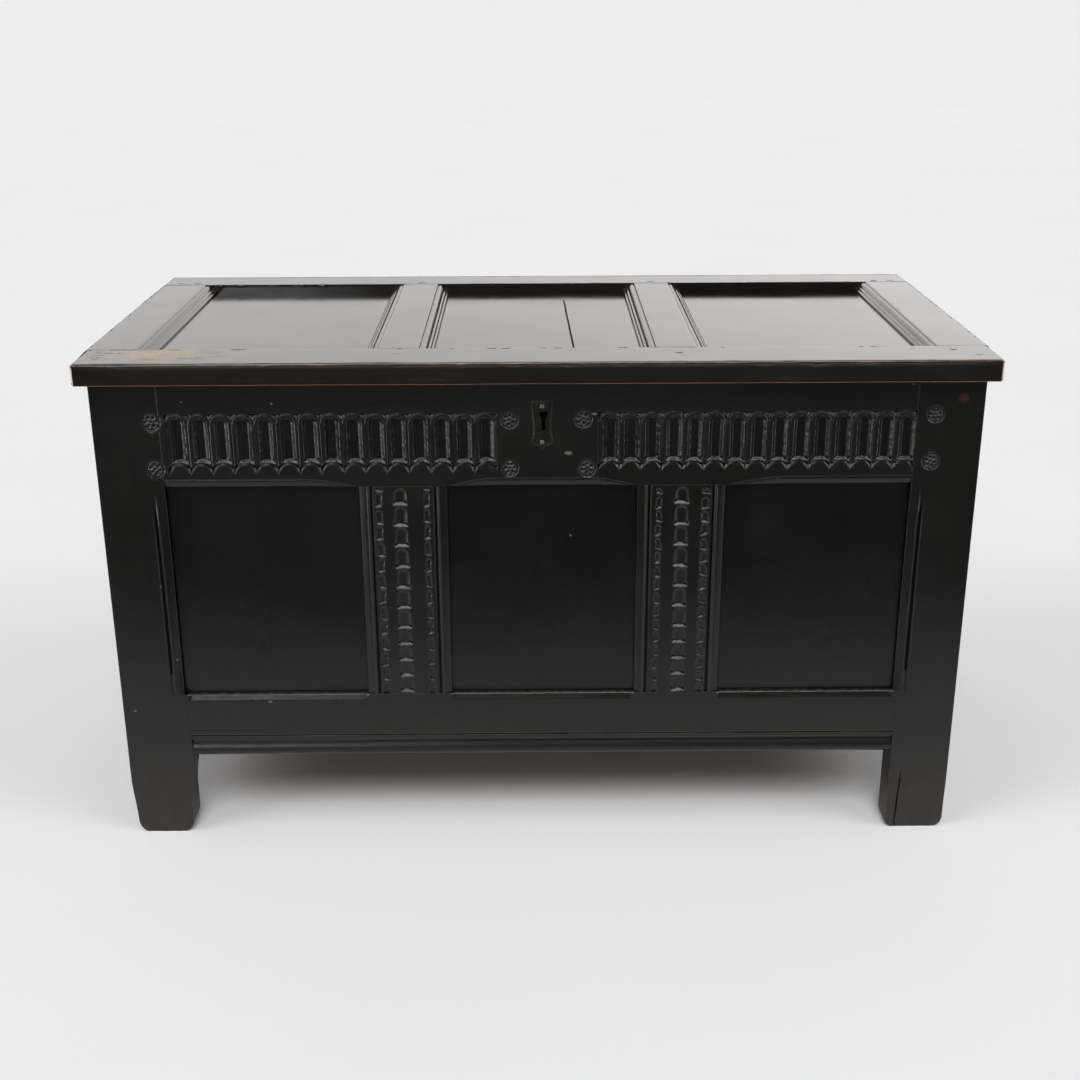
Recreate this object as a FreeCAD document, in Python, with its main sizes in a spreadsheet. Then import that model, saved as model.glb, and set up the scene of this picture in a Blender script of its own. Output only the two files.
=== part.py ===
# Joined oak coffer chest: four corner stiles, panelled frames on all sides, a three-panel lid on
# strap hinges, and an iron lock behind an escutcheon.
#
# Frame: millimetres, +Z up, the floor at z = 0, the front at -Y, and the origin under the middle
# of the lid. Every joint is a pegged mortise and tenon, and every panel floats in a groove.
import FreeCAD, Part
import os
import Sketcher
from FreeCAD import Placement, Rotation, Vector

SIZES = [
    # The lid and how far it stands over the body
    ("lid_width", 1200, "lid, left to right"),
    ("lid_depth", 600, "lid, front to back"),
    ("lid_thick", 29, "lid frame"),
    ("overhang_front", 22.5, "lid over the front face"),
    ("overhang_back", 21.5, "lid over the back face"),
    ("overhang_side", 13.5, "lid over each side face"),
    # The body's framing
    ("body_height", 672, "floor to the top of the rails"),
    ("leg_height", 124, "floor to the underside of the rails"),
    ("stile_width", 88, "corner stile, across the front"),
    ("stile_depth", 45, "corner stile, front to back"),
    ("foot_round", 17, "rounded bottom corners of the feet"),
    ("rail_thick", 30, "rails and muntins"),
    ("bottom_rail_tall", 96, "bottom rails"),
    ("front_top_rail_tall", 145, "carved top rail of the front"),
    ("plain_top_rail_tall", 110, "top rails of the sides and back"),
    ("muntin_width", 117, "front muntins"),
    ("muntin_spread", 372.5, "between the muntins' centres"),
    ("muntin_shift", 5.25, "front muntins stand this far right of the middle"),
    ("plain_muntin_width", 95, "muntins of the sides and back"),
    # Mortises, tenons and pegs
    ("tenon_setback", 10, "face of the frame to the tenon"),
    ("tenon_thick", 10, "tenon"),
    ("tenon_shoulder", 12, "tenon's edge inside its rail's edge"),
    ("top_shoulder", 20, "tenon's edge below the top of a top rail"),
    ("rail_tenon", 50, "front and back rails' tenons"),
    ("side_tenon", 32, "side rails' tenons"),
    ("muntin_tenon", 36, "muntins' tenons"),
    ("mortise_spare", 2, "mortise beyond the tenon's end"),
    ("mortise_play", 0.1, "mortise round the tenon, each face"),
    ("peg_sides", 4, "sides of a riven oak peg"),
    ("peg_radius", 5, "peg hole, centre to corner"),
    ("peg_play", 0.1, "hole round a peg"),
    ("peg_proud", 0.4, "peg's head above the face"),
    ("peg_hole_spare", 0.1, "hole beyond a peg's end"),
    ("peg_length", 27, "peg, below the face"),
    ("lid_peg_length", 25, "lid peg, below the face"),
    ("peg_inset", 24, "peg's centre from the joint line"),
    ("side_peg_inset", 16, "side peg's centre from the joint line"),
    ("muntin_peg_inset", 18, "muntin peg's centre from the joint line"),
    ("front_peg_first", 27, "upper pegs of the front top rail, from its top"),
    ("front_peg_second", 82, "lower pegs of the front top rail, from its top"),
    ("plain_peg_first", 32, "upper pegs of the plain top rails, from their tops"),
    ("rail_peg_inset", 26, "other pegs of a rail, from its edge"),
    # Panels and their grooves
    ("panel_setback", 10, "face of the frame to the panel"),
    ("groove_width", 8, "panel groove"),
    ("groove_deep", 10, "panel groove"),
    ("panel_thick", 12, "panel's field"),
    ("panel_edge", 7.6, "panel's feathered edge"),
    ("panel_bevel", 34, "width of the bevel on a panel's inner face"),
    ("panel_play", 1.5, "panel's edge short of the groove's floor"),
    # Mouldings of the front
    ("ovolo_wide", 12, "edge moulding round the front panels"),
    ("ovolo_deep", 7.5, "edge moulding round the front panels"),
    ("ovolo_radius", 6.5, "its quarter round"),
    ("sill_chamfer_tall", 9, "chamfer under each front panel"),
    ("sill_chamfer_deep", 8, "chamfer under each front panel"),
    ("base_mould_tall", 23, "moulding along the front bottom rail"),
    ("base_mould_sink", 2.5, "depth of its quirks"),
    ("base_roll_low", 8.5, "rail's lower edge to the roll"),
    ("base_roll_tall", 13, "roll in the base moulding"),
    ("base_roll_depth", 11, "centre of the roll's curve behind the face"),
    ("base_bead_sink", 1.2, "bead under the roll"),
    ("base_bead_tall", 7, "bead under the roll"),
    # Carved flutes of the frieze and hollows of the muntins
    ("flute_count", 15, "flutes in each half of the frieze"),
    ("flute_wide", 20, "hollow of a flute"),
    ("flute_foot_drop", 109, "rail's top to a flute's lower corners"),
    ("flute_crown_drop", 49, "rail's top to a flute's crown"),
    ("flute_deep", 4.5, "hollow of a flute"),
    ("flute_foot_rise", 5, "arch at a flute's foot"),
    ("left_flute_outer", 22.7, "outermost flute of the left half, from the stile"),
    ("left_flute_inner", 70.2, "innermost flute of the left half, from the middle"),
    ("right_flute_inner", 93.5, "innermost flute of the right half, from the middle"),
    ("right_flute_outer", 13.6, "outermost flute of the right half, from the stile"),
    ("hollow_count", 10, "hollows up each muntin"),
    ("hollow_wide", 17.5, "hollow of a muntin"),
    ("hollow_tall", 23, "hollow, foot corner to crown"),
    ("hollow_foot_rise", 4, "arch at a hollow's foot"),
    ("hollow_deep", 3.5, "hollow of a muntin"),
    ("hollow_pitch", 28.6, "spacing of the hollows"),
    ("hollow_start", 11, "lowest hollow above the bottom rail"),
    # Bottom boards
    ("board_count", 5, "bottom boards"),
    ("board_rise", 16, "boards above the bottom rails' lower edges"),
    ("board_thick", 12, "bottom boards"),
    ("board_gap", 0.6, "between two boards and round the stiles"),
    ("board_groove", 10, "groove that holds the boards' ends"),
    ("board_play", 0.4, "groove above the boards"),
    ("board_end_play", 1, "boards short of the grooves' floors"),
    ("board_nail_inset", 57, "nail from a board's edge"),
    # The lid's frame
    ("lid_front_rail", 81, "width of the lid's front rail"),
    ("lid_back_rail", 66, "width of the lid's back rail"),
    ("lid_stile", 86, "width of the lid's end stiles, with their moulding"),
    ("lid_muntin", 92, "width of the lid's muntins, with their mouldings"),
    ("lid_muntin_spread", 371, "between the lid muntins' centres"),
    ("lid_panel_setback", 13, "top of the lid to its panels"),
    ("lid_tenon_inset", 12, "lid tenon's edge from its member's edge"),
    ("lid_front_tenon", 58, "tenons in the front rail"),
    ("lid_back_tenon", 40, "tenons in the back rail"),
    ("lid_mould_wide", 21, "moulding on the lid's stiles and muntins"),
    ("lid_quirk", 1.5, "step at the top of the moulding"),
    ("lid_ovolo", 6.5, "quarter round of the moulding"),
    ("lid_fillet", 3.5, "flat between the two rounds"),
    ("lid_bead_step", 0.5, "step down to the lower round"),
    ("lid_bead", 2.5, "lower round of the moulding"),
    ("lid_peg_near", 18, "inner front pegs of the end stiles, from the joint line"),
    ("lid_peg_far", 49, "outer front pegs of the end stiles, from the joint line"),
    ("lid_peg_muntin", 28, "front pegs of the muntins, from the joint line"),
    ("lid_peg_back", 14, "back pegs, from the joint line"),
    ("lid_peg_inner", 51, "inner pegs of the end stiles, from the lid's end"),
    ("lid_peg_outer", 25, "outer pegs of the end stiles, from the lid's end"),
    # Hinges
    ("strap_wide", 30, "hinge straps and leaves"),
    ("strap_thick", 3, "hinge straps and leaves"),
    ("strap_long", 280, "strap under the lid, from the pin"),
    ("strap_taper", 40, "tapered end of a strap"),
    ("leaf_long", 70, "leaf on the back rail, from the pin"),
    ("leaf_taper", 20, "tapered end of a leaf"),
    ("tip_wide", 12, "end of a strap or leaf"),
    ("knuckle_radius", 5.5, "hinge knuckles"),
    ("knuckle_middle", 12, "length of the strap's knuckle"),
    ("knuckle_gap", 0.3, "between parts that turn past each other"),
    ("pin_radius", 2.5, "hinge pin"),
    ("pin_play", 0.05, "knuckle round the pin"),
    ("pin_head_half", 3.6, "peened heads of the pin, half across two flats"),
    ("pin_head_long", 1.6, "peened heads of the pin"),
    ("pin_end_play", 1, "rail beyond the pin's heads"),
    ("strap_let_in", 0.3, "rail round a strap that is let in"),
    ("hinge_nail_shift", 7, "hinge nails, from the strap's middle"),
    ("leaf_nail_first", 27, "first nail of a leaf, from the pin"),
    ("leaf_nail_step", 13, "second nail of a leaf, from the first"),
    ("leaf_nail_tip", 12, "last nail of a leaf, from its tip"),
    ("strap_nail_first", 58, "first nail of a strap, from the pin"),
    ("strap_nail_step", 54, "next nails of a strap, each from the one before"),
    ("strap_nail_tip", 16, "last nail of a strap, from its tip"),
    # Lock
    ("lock_centre", 5.25, "lock and escutcheon, from the middle"),
    ("plate_half_wide", 80, "lock plate, each side of its middle"),
    ("plate_drop", 8, "rail's top to the lock plate"),
    ("plate_tall", 78, "lock plate"),
    ("plate_thick", 2.5, "lock plate"),
    ("plate_nail_inset", 5.5, "nails from the lock plate's edges"),
    ("plate_lap", 10, "lock plate beyond its recess, all round"),
    ("recess_deep", 18, "recess behind the lock plate"),
    ("staple_thick", 6, "staple, along the chest"),
    ("staple_leg", 3.5, "each leg of the staple"),
    ("staple_eye_wide", 7, "eye of the staple, front to back"),
    ("staple_drop", 45, "rail's top to the underside of the staple"),
    ("staple_bar", 5, "bar under the staple's eye"),
    ("staple_eye_tall", 13, "eye of the staple"),
    ("staple_root", 20, "legs of the staple inside the lid"),
    ("staple_back", 1.5, "rear leg of the staple from the lock plate"),
    ("staple_slot_play", 2.5, "slot on each side of the staple"),
    ("bolt_thick", 5, "lock bolt, front to back"),
    ("bolt_tall", 8, "lock bolt"),
    ("bolt_long", 60, "lock bolt"),
    ("bolt_gap", 2, "drawn bolt from the staple"),
    ("bolt_rise", 2, "bolt above the foot of the staple's eye"),
    ("bolt_play", 0.3, "bolt in its bridges"),
    ("bolt_talon", 8, "notch that the key's bit turns in"),
    ("bolt_talon_shift", 20, "notch left of the keyhole, with the bolt drawn"),
    ("bridge_wide", 8, "each bridge that guides the bolt"),
    ("bridge_wall", 2.5, "metal round the bolt in a bridge"),
    ("bridge_far", 44, "outer bridge from the lock's middle"),
    ("bridge_near", 20, "inner bridge from the lock's middle"),
    ("escutcheon_half", 14, "escutcheon's head, each side"),
    ("escutcheon_waist", 10, "escutcheon's waist, each side"),
    ("escutcheon_drop", 28, "rail's top to the escutcheon"),
    ("escutcheon_tall", 63, "escutcheon"),
    ("escutcheon_head", 15, "height of the escutcheon's head"),
    ("escutcheon_slope", 4, "slope between the head and the waist"),
    ("escutcheon_lobe", 19, "height of the escutcheon's lobe"),
    ("escutcheon_nail_inset", 7, "nails from the escutcheon's ends"),
    ("escutcheon_thick", 1.5, "escutcheon"),
    ("key_shift", 1.65, "keyhole right of the lock's middle"),
    ("key_drop", 48.4, "rail's top to the centre of the keyhole's round head"),
    ("key_long", 19.6, "centre of the round head to the foot of the slot"),
    ("key_radius", 4.3, "round head of the keyhole"),
    ("key_slot", 2.9, "half the width of the keyhole's slot"),
    ("key_margin", 0.3, "keyhole in the rail larger than in the escutcheon"),
    # Nails
    ("nail_half", 1.5, "half the width of a wrought nail's square shank"),
    ("nail_play", 0.1, "hole round a nail"),
    ("nail_hole_spare", 0.5, "hole beyond a nail's tip"),
    ("nail_length", 20, "shank of a wrought nail"),
    ("nail_head", 4.5, "half the width of a wrought head"),
    ("nail_crown", 1.6, "half the width of the head's crown"),
    ("nail_head_tall", 2, "height of a wrought head"),
    ("small_nail_length", 9, "shank of an escutcheon or lock nail"),
    ("small_head", 2.8, "half the width of an escutcheon or lock nail's head"),
    ("small_head_tall", 1.2, "height of an escutcheon or lock nail's head"),
]

# Places and lengths that follow from the sizes
PLACES = [
    ("side_face", "sizes.lid_width / 2 - sizes.overhang_side"),
    ("front_face", "sizes.overhang_front - sizes.lid_depth / 2"),
    ("back_face", "sizes.lid_depth / 2 - sizes.overhang_back"),
    ("stile_edge", "side_face - sizes.stile_width"),
    ("front_corner", "front_face + sizes.stile_depth"),
    ("back_corner", "back_face - sizes.stile_depth"),
    ("side_middle", "(front_corner + back_corner) / 2"),
    ("sill", "sizes.leg_height + sizes.bottom_rail_tall"),
    ("head", "sizes.body_height - sizes.front_top_rail_tall"),
    ("plain_head", "sizes.body_height - sizes.plain_top_rail_tall"),
    ("board_low", "sizes.leg_height + sizes.board_rise"),
    ("board_top", "board_low + sizes.board_thick"),
    ("board_end", "front_face + sizes.rail_thick - sizes.board_groove + sizes.board_end_play"),
    ("board_side", "side_face - sizes.rail_thick + sizes.board_groove - sizes.board_end_play"),
    ("board_step", "2 * board_side / sizes.board_count"),
    ("flute_low", "sizes.body_height - sizes.flute_foot_drop"),
    ("flute_high", "sizes.body_height - sizes.flute_crown_drop"),
    ("left_flute", "sizes.left_flute_outer - stile_edge"),
    ("left_flute_pitch", "(-sizes.left_flute_inner - left_flute) / (sizes.flute_count - 1)"),
    ("right_flute_last", "stile_edge - sizes.right_flute_outer"),
    ("right_flute_pitch", "(right_flute_last - sizes.right_flute_inner) / (sizes.flute_count - 1)"),
    ("lid_top", "sizes.body_height + sizes.lid_thick"),
    ("lid_end", "sizes.lid_width / 2"),
    ("lid_front", "-sizes.lid_depth / 2"),
    ("lid_back", "sizes.lid_depth / 2"),
    ("lid_front_joint", "lid_front + sizes.lid_front_rail"),
    ("lid_back_joint", "lid_back - sizes.lid_back_rail"),
    ("lid_stile_edge", "lid_end - sizes.lid_stile"),
    ("hinge_y", "back_face - sizes.strap_thick + sizes.knuckle_radius"),
    ("hinge_z", "sizes.body_height - sizes.knuckle_radius - sizes.knuckle_gap"),
    ("hinge_x", "sizes.lid_muntin_spread / 2"),
    ("strap_tip", "hinge_y - sizes.strap_long"),
    ("leaf_tip", "hinge_z - sizes.leaf_long"),
    ("plate_y", "front_face + sizes.rail_thick"),
    ("plate_high", "sizes.body_height - sizes.plate_drop"),
    ("plate_low", "plate_high - sizes.plate_tall"),
    ("recess_high", "plate_high - sizes.plate_lap"),
    ("recess_low", "plate_low + sizes.plate_lap"),
    ("recess_half_wide", "sizes.plate_half_wide - sizes.plate_lap"),
    ("staple_y", "plate_y - sizes.staple_back - sizes.staple_leg - sizes.staple_eye_wide / 2"),
    ("staple_low", "sizes.body_height - sizes.staple_drop"),
    ("eye_low", "staple_low + sizes.staple_bar"),
    ("bolt_low", "eye_low + sizes.bolt_rise"),
    ("bolt_tip", "sizes.lock_centre - sizes.staple_thick / 2 - sizes.bolt_gap"),
    ("escutcheon_high", "sizes.body_height - sizes.escutcheon_drop"),
    ("escutcheon_neck", "escutcheon_high - sizes.escutcheon_head"),
    ("escutcheon_low", "escutcheon_high - sizes.escutcheon_tall"),
    ("escutcheon_waist_low", "escutcheon_low + sizes.escutcheon_lobe"),
    ("key_x", "sizes.lock_centre + sizes.key_shift"),
    ("key_centre", "sizes.body_height - sizes.key_drop"),
    ("key_low", "key_centre - sizes.key_long"),
]


def make_sheet(doc, name, rows):
    """A spreadsheet of named cells, one row each: name, value and what it is."""
    sheet = doc.addObject("Spreadsheet::Sheet", name)
    for row, (alias, content, note) in enumerate(rows, 1):
        sheet.set(f"A{row}", alias)
        sheet.set(f"B{row}", content)
        sheet.set(f"C{row}", note)
        sheet.setAlias(f"B{row}", alias)
    doc.recompute()
    return sheet


doc = FreeCAD.newDocument("coffer_chest")
sizes = make_sheet(doc, "sizes", [(alias, str(number), note) for alias, number, note in SIZES])
places = make_sheet(doc, "places", [(alias, "=" + formula, "") for alias, formula in PLACES])
NODES = []


# ---------------------------------------------------------------- sketches and features

# Cuts run this far past the face that they open, and a pad this far into what it joins
PAST = 1

PLANES = {"x": "YZ_Plane", "y": "XZ_Plane", "z": "XY_Plane"}
# A pad grows along its sketch's normal, which is +X, -Y or +Z on the three origin planes
NORMALS = {"x": 1, "y": -1, "z": 1}


def new_body(label, is_node=True):
    """An empty body; a node is exported under its label."""
    body = doc.addObject("PartDesign::Body", label)
    body.Label = label
    if is_node:
        NODES.append(body)
    return body


def number(expression):
    """The present value of an expression over the two sheets."""
    return float(places.evalExpression(expression))


def add_sketch(body, axis, level):
    """A sketch square to the axis, at that level along it."""
    sketch = body.newObject("Sketcher::SketchObject", "Sketch")
    plane = [item for item in body.Origin.OriginFeatures if item.Role == PLANES[axis]][0]
    sketch.AttachmentSupport = [(plane, "")]
    sketch.MapMode = "FlatFace"
    sketch.setExpression("AttachmentOffset.Base.z", f"{NORMALS[axis]} * ({level})")
    return sketch


def pin_point(sketch, curve, point, across, up):
    """Fix one point of a curve at two expressions."""
    for kind, expression in (("DistanceX", across), ("DistanceY", up)):
        index = sketch.addConstraint(Sketcher.Constraint(kind, -1, 1, curve, point, number(expression)))
        sketch.setExpression(f"Constraints[{index}]", expression)


def arc_through(start, end, centre_key, centre_value, crown):
    """An arc from start to end; one coordinate of its centre is given, and the side of its crown."""
    middle = (start + end) / 2
    chord = end - start
    normal = Vector(-chord.y, chord.x, 0)
    step = (centre_value - getattr(middle, centre_key)) / getattr(normal, centre_key)
    centre = middle + normal * step
    radius = (start - centre).Length
    side = normal if normal.dot(crown) > 0 else -normal
    return Part.Arc(start, centre + side.normalize() * radius, end)


def add_loop(sketch, corners):
    """A closed outline. Each corner is (across, up), and one that starts an arc adds
    (centre's coordinate "x" or "y", its expression, direction of the arc's crown)."""
    first = sketch.GeometryCount
    spots = [Vector(number(corner[0]), number(corner[1]), 0) for corner in corners]
    total = len(corners)
    reversed_arcs = {}
    for index, corner in enumerate(corners):
        start, end = spots[index], spots[(index + 1) % total]
        if len(corner) == 2:
            sketch.addGeometry(Part.LineSegment(start, end), False)
            continue
        curve = arc_through(start, end, corner[2], number(corner[3]), Vector(*corner[4], 0))
        added = sketch.addGeometry(curve, False)
        # A sketch keeps its arcs anticlockwise, so an arc may begin at its loop's next corner
        begin = sketch.getPoint(added, 1)
        reversed_arcs[index] = (begin - start).Length > (begin - end).Length

    def ends(index):
        return (2, 1) if reversed_arcs.get(index) else (1, 2)

    for index, corner in enumerate(corners):
        following = (index + 1) % total
        joint = (first + index, ends(index)[1], first + following, ends(following)[0])
        sketch.addConstraint(Sketcher.Constraint("Coincident", *joint))
        pin_point(sketch, first + index, ends(index)[0], corner[0], corner[1])
        if len(corner) > 2:
            kind = "DistanceX" if corner[2] == "x" else "DistanceY"
            constraint = Sketcher.Constraint(kind, -1, 1, first + index, 3, number(corner[3]))
            added = sketch.addConstraint(constraint)
            sketch.setExpression(f"Constraints[{added}]", corner[3])


def add_circle(sketch, across, up, radius):
    """A circle with its centre and radius bound to expressions."""
    centre = Vector(number(across), number(up), 0)
    curve = sketch.addGeometry(Part.Circle(centre, Vector(0, 0, 1), number(radius)), False)
    pin_point(sketch, curve, 3, across, up)
    index = sketch.addConstraint(Sketcher.Constraint("Radius", curve, number(radius)))
    sketch.setExpression(f"Constraints[{index}]", radius)


def block(left, right, low, high):
    """The outline of a rectangle."""
    return [(left, low), (right, low), (right, high), (left, high)]


def draw(sketch, outlines):
    """Each outline is a list of corners, or (across, up, radius) for a circle."""
    for outline in outlines:
        if isinstance(outline, tuple):
            add_circle(sketch, *outline)
        else:
            add_loop(sketch, outline)


def pad(body, axis, low, high, *outlines):
    """Add the outlines, from low to high along the axis."""
    sketch = add_sketch(body, axis, low if NORMALS[axis] > 0 else high)
    draw(sketch, outlines)
    feature = body.newObject("PartDesign::Pad", "Pad")
    feature.Profile = sketch
    feature.setExpression("Length", f"({high}) - ({low})")
    sketch.Visibility = False
    return feature


def pocket(body, axis, low, high, *outlines):
    """Cut the outlines away, from low to high along the axis."""
    sketch = add_sketch(body, axis, high if NORMALS[axis] > 0 else low)
    draw(sketch, outlines)
    feature = body.newObject("PartDesign::Pocket", "Pocket")
    feature.Profile = sketch
    feature.setExpression("Length", f"({high}) - ({low})")
    sketch.Visibility = False
    CUTS.append(feature)
    return feature


def repeat(body, feature, sketch_axis, spacing, count):
    """Repeat a feature along its sketch's axis."""
    row = body.newObject("PartDesign::LinearPattern", "Row")
    row.Originals = [feature]
    row.Direction = (feature.Profile[0], [sketch_axis])
    row.setExpression("Length", f"({spacing}) * ({count} - 1)")
    row.setExpression("Occurrences", count)
    body.Tip = row
    return row


CUTS = []
# Every cut has to remove more than this, in cubic millimetres
LEAST_CUT = 0.01


# ---------------------------------------------------------------- faces of the chest

class Face:
    """One outer face of the chest. Outlines on it are drawn in its own plane, and depths run
    from the face into the chest."""

    def __init__(self, axis, level, inward, play="sizes.mortise_play"):
        self.axis = axis
        self.level = level
        self.inward = inward
        self.play = play

    def at(self, depth):
        return f"({self.level} + {self.inward} * ({depth}))"

    def span(self, near, far):
        ends = (self.at(near), self.at(far))
        return ends if self.inward > 0 else ends[::-1]

    def pad(self, body, near, far, *outlines):
        return pad(body, self.axis, *self.span(near, far), *outlines)

    def pocket(self, body, near, far, *outlines):
        return pocket(body, self.axis, *self.span(near, far), *outlines)


FRONT = Face("y", "places.front_face", 1)
BACK = Face("y", "places.back_face", -1)
LEFT = Face("x", "-places.side_face", 1)
RIGHT = Face("x", "places.side_face", -1)
LID = Face("z", "places.lid_top", -1)

TENON_NEAR = "sizes.tenon_setback"
TENON_FAR = "sizes.tenon_setback + sizes.tenon_thick"
MORTISE_NEAR = "sizes.tenon_setback - sizes.mortise_play"
MORTISE_FAR = "sizes.tenon_setback + sizes.tenon_thick + sizes.mortise_play"
GROOVE_NEAR = "sizes.panel_setback"
GROOVE_FAR = "sizes.panel_setback + sizes.groove_width"
PLAY = "sizes.mortise_play"
SPARE = "sizes.mortise_spare"


def add_tenons(face, body, outline):
    """Tenons are the two ends of one tongue that runs through the member."""
    face.pad(body, TENON_NEAR, TENON_FAR, block(*outline))


def cut_mortises(face, body, *outlines):
    face.pocket(body, MORTISE_NEAR, MORTISE_FAR, *[block(*outline) for outline in outlines])


def cut_grooves(face, body, *outlines):
    face.pocket(body, GROOVE_NEAR, GROOVE_FAR, *[block(*outline) for outline in outlines])


def tenon_heights(low, high, is_top):
    """The tenon of a rail stands back from the rail's edges, and further from the body's top."""
    upper = "sizes.top_shoulder" if is_top else "sizes.tenon_shoulder"
    return f"{low} + sizes.tenon_shoulder", f"{high} - {upper}"


def muntin_tenon_sides(centre, width):
    return (f"{centre} - {width} / 2 + sizes.tenon_shoulder",
            f"{centre} + {width} / 2 - sizes.tenon_shoulder")


def rail_mortise(near, far, low, high, is_top):
    """A stile's mortise for one rail: near is the stile's edge and far the tenon's end."""
    foot, crown = tenon_heights(low, high, is_top)
    return near, far, f"{foot} - {PLAY}", f"{crown} + {PLAY}"


# ---------------------------------------------------------------- pegs, nails and their holes

def peg_prism(name, face, spot, radius, start, length):
    """A riven peg or its hole, square to a face, from a depth of start."""
    prism = doc.addObject("Part::Prism", name)
    prism.setExpression("Polygon", "sizes.peg_sides")
    prism.setExpression("Circumradius", radius)
    prism.setExpression("Height", length)
    turn = {"x": Rotation(Vector(0, 1, 0), 90 * face.inward),
            "y": Rotation(Vector(1, 0, 0), -90 * face.inward),
            "z": Rotation(Vector(1, 0, 0), 90 - 90 * face.inward)}[face.axis]
    prism.Placement.Rotation = turn
    place(prism, face.axis, spot, face.at(start))
    return prism


def place(item, axis, spot, level):
    """Put an item at a spot of the plane square to the axis."""
    across, up = spot
    coordinates = {"x": (level, across, up), "y": (across, level, up), "z": (across, up, level)}[axis]
    for letter, expression in zip("xyz", coordinates):
        item.setExpression(f"Placement.Base.{letter}", expression)


def group(label, items, is_node=False):
    """Separate solids that share one object."""
    compound = doc.addObject("Part::Compound", label)
    compound.Label = label
    compound.Links = items
    if is_node:
        NODES.append(compound)
    return compound


def make_pegs(label, rows, length):
    """Pegs as one node, and the holes that they stand in. Each row is a face and its spots."""
    pegs, holes = [], []
    for face, spots in rows:
        for spot in spots:
            pegs.append(peg_prism("Peg", face, spot, "sizes.peg_radius - sizes.peg_play",
                                  "-sizes.peg_proud", f"{length} + sizes.peg_proud"))
            holes.append(peg_prism("PegHole", face, spot, "sizes.peg_radius", f"-{PAST}",
                                   f"{length} + {PAST} + sizes.peg_hole_spare"))
    group(label, pegs, is_node=True)
    return group(label + "_holes", holes)


def wedge(name, axis, sense, spot, level, root_half, tip_half, length):
    """A square tapered bar from its root at a level, pointing along the axis in the sense given."""
    item = doc.addObject("Part::Wedge", name)
    for letter in "XZ":
        item.setExpression(f"{letter}min", f"-({root_half})")
        item.setExpression(f"{letter}max", root_half)
        item.setExpression(f"{letter}2min", f"-({tip_half})")
        item.setExpression(f"{letter}2max", tip_half)
    item.Ymin = 0
    item.setExpression("Ymax", length)
    item.Placement.Rotation = {"x": Rotation(Vector(0, 0, 1), -90 * sense),
                               "y": Rotation(Vector(0, 0, 1), 90 - 90 * sense),
                               "z": Rotation(Vector(1, 0, 0), 90 * sense)}[axis]
    place(item, axis, spot, level)
    return item


class Nails:
    """A group of like nails, gathered over several faces, and the holes that they stand in."""

    def __init__(self, label, length, head_half, head_tall):
        self.label = label
        self.length = length
        self.head_half = head_half
        self.head_tall = head_tall
        self.nails = []

    def drive(self, name, axis, sense, level, spots):
        """Nails from a level into the work, and the holes for them as one group."""
        holes = []
        for spot in spots:
            shank = wedge("Shank", axis, sense, spot, level, "sizes.nail_half",
                          "sizes.nail_half / 2", self.length)
            head = wedge("Head", axis, -sense, spot, level, self.head_half,
                         f"sizes.nail_crown * {self.head_half} / sizes.nail_head", self.head_tall)
            nail = doc.addObject("Part::Fuse", "Nail")
            nail.Base = head
            nail.Tool = shank
            self.nails.append(nail)
            holes.append(wedge("NailHole", axis, sense, spot, level, "sizes.nail_half + sizes.nail_play",
                               "sizes.nail_half / 2 + sizes.nail_play",
                               f"{self.length} + sizes.nail_hole_spare"))
        return group(name, holes)

    def finish(self):
        group(self.label, self.nails, is_node=True)


def drill(body, *tools):
    """The body with its peg and nail holes, exported in the body's place."""
    label = body.Label
    body.Label = label + "_blank"
    cut = doc.addObject("Part::Cut", label)
    cut.Label = label
    cut.Base = body
    cut.Tool = tools[0] if len(tools) == 1 else group(label + "_tools", list(tools))
    NODES[NODES.index(body)] = cut
    CUTS.append(cut)


# ---------------------------------------------------------------- mouldings

def quarter_round(edge, into, face, depth_sense):
    """Waste of an edge moulding: a small quirk and a quarter round. The edge and the face are
    expressions, into is the way into the wood and depth_sense the way behind the face."""
    wide = f"{edge} + {into} * sizes.ovolo_wide"
    toe = f"{edge} + {into} * (sizes.ovolo_wide - sizes.ovolo_radius)"
    quirk = f"{face} + {depth_sense} * (sizes.ovolo_deep - sizes.ovolo_radius)"
    floor = f"{face} + {depth_sense} * sizes.ovolo_deep"
    outside_face = f"{face} - {depth_sense} * {PAST}"
    outside_edge = f"{edge} - {into} * {PAST}"
    return [(outside_edge, outside_face), (wide, outside_face),
            (wide, quirk, "x", wide, (-into, -depth_sense)), (toe, floor), (outside_edge, floor)]


def lid_moulding(edge, into):
    """Waste of the lid's moulding in the XZ plane: a quirk, a quarter round, a fillet and a
    smaller round, from the top of the lid down to just above the panel's groove."""
    top = "places.lid_top"
    wide = f"{edge} + {into} * sizes.lid_mould_wide"
    first = f"{edge} + {into} * (sizes.lid_mould_wide - sizes.lid_ovolo)"
    second = f"{edge} + {into} * (sizes.lid_mould_wide - sizes.lid_ovolo - sizes.lid_fillet)"
    third = (f"{edge} + {into} * (sizes.lid_mould_wide - sizes.lid_ovolo"
             " - sizes.lid_fillet - sizes.lid_bead)")
    quirk = f"{top} - sizes.lid_quirk"
    shelf = f"{top} - sizes.lid_quirk - sizes.lid_ovolo"
    step = f"{shelf} - sizes.lid_bead_step"
    floor = f"{step} - sizes.lid_bead"
    outside = f"{edge} - {into} * {PAST}"
    above = f"{top} + {PAST}"
    return [(outside, above), (wide, above), (wide, quirk, "x", wide, (-into, 1)), (first, shelf),
            (second, shelf), (second, step, "x", second, (-into, 1)), (third, floor), (outside, floor)]


# ---------------------------------------------------------------- corner stiles

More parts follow.
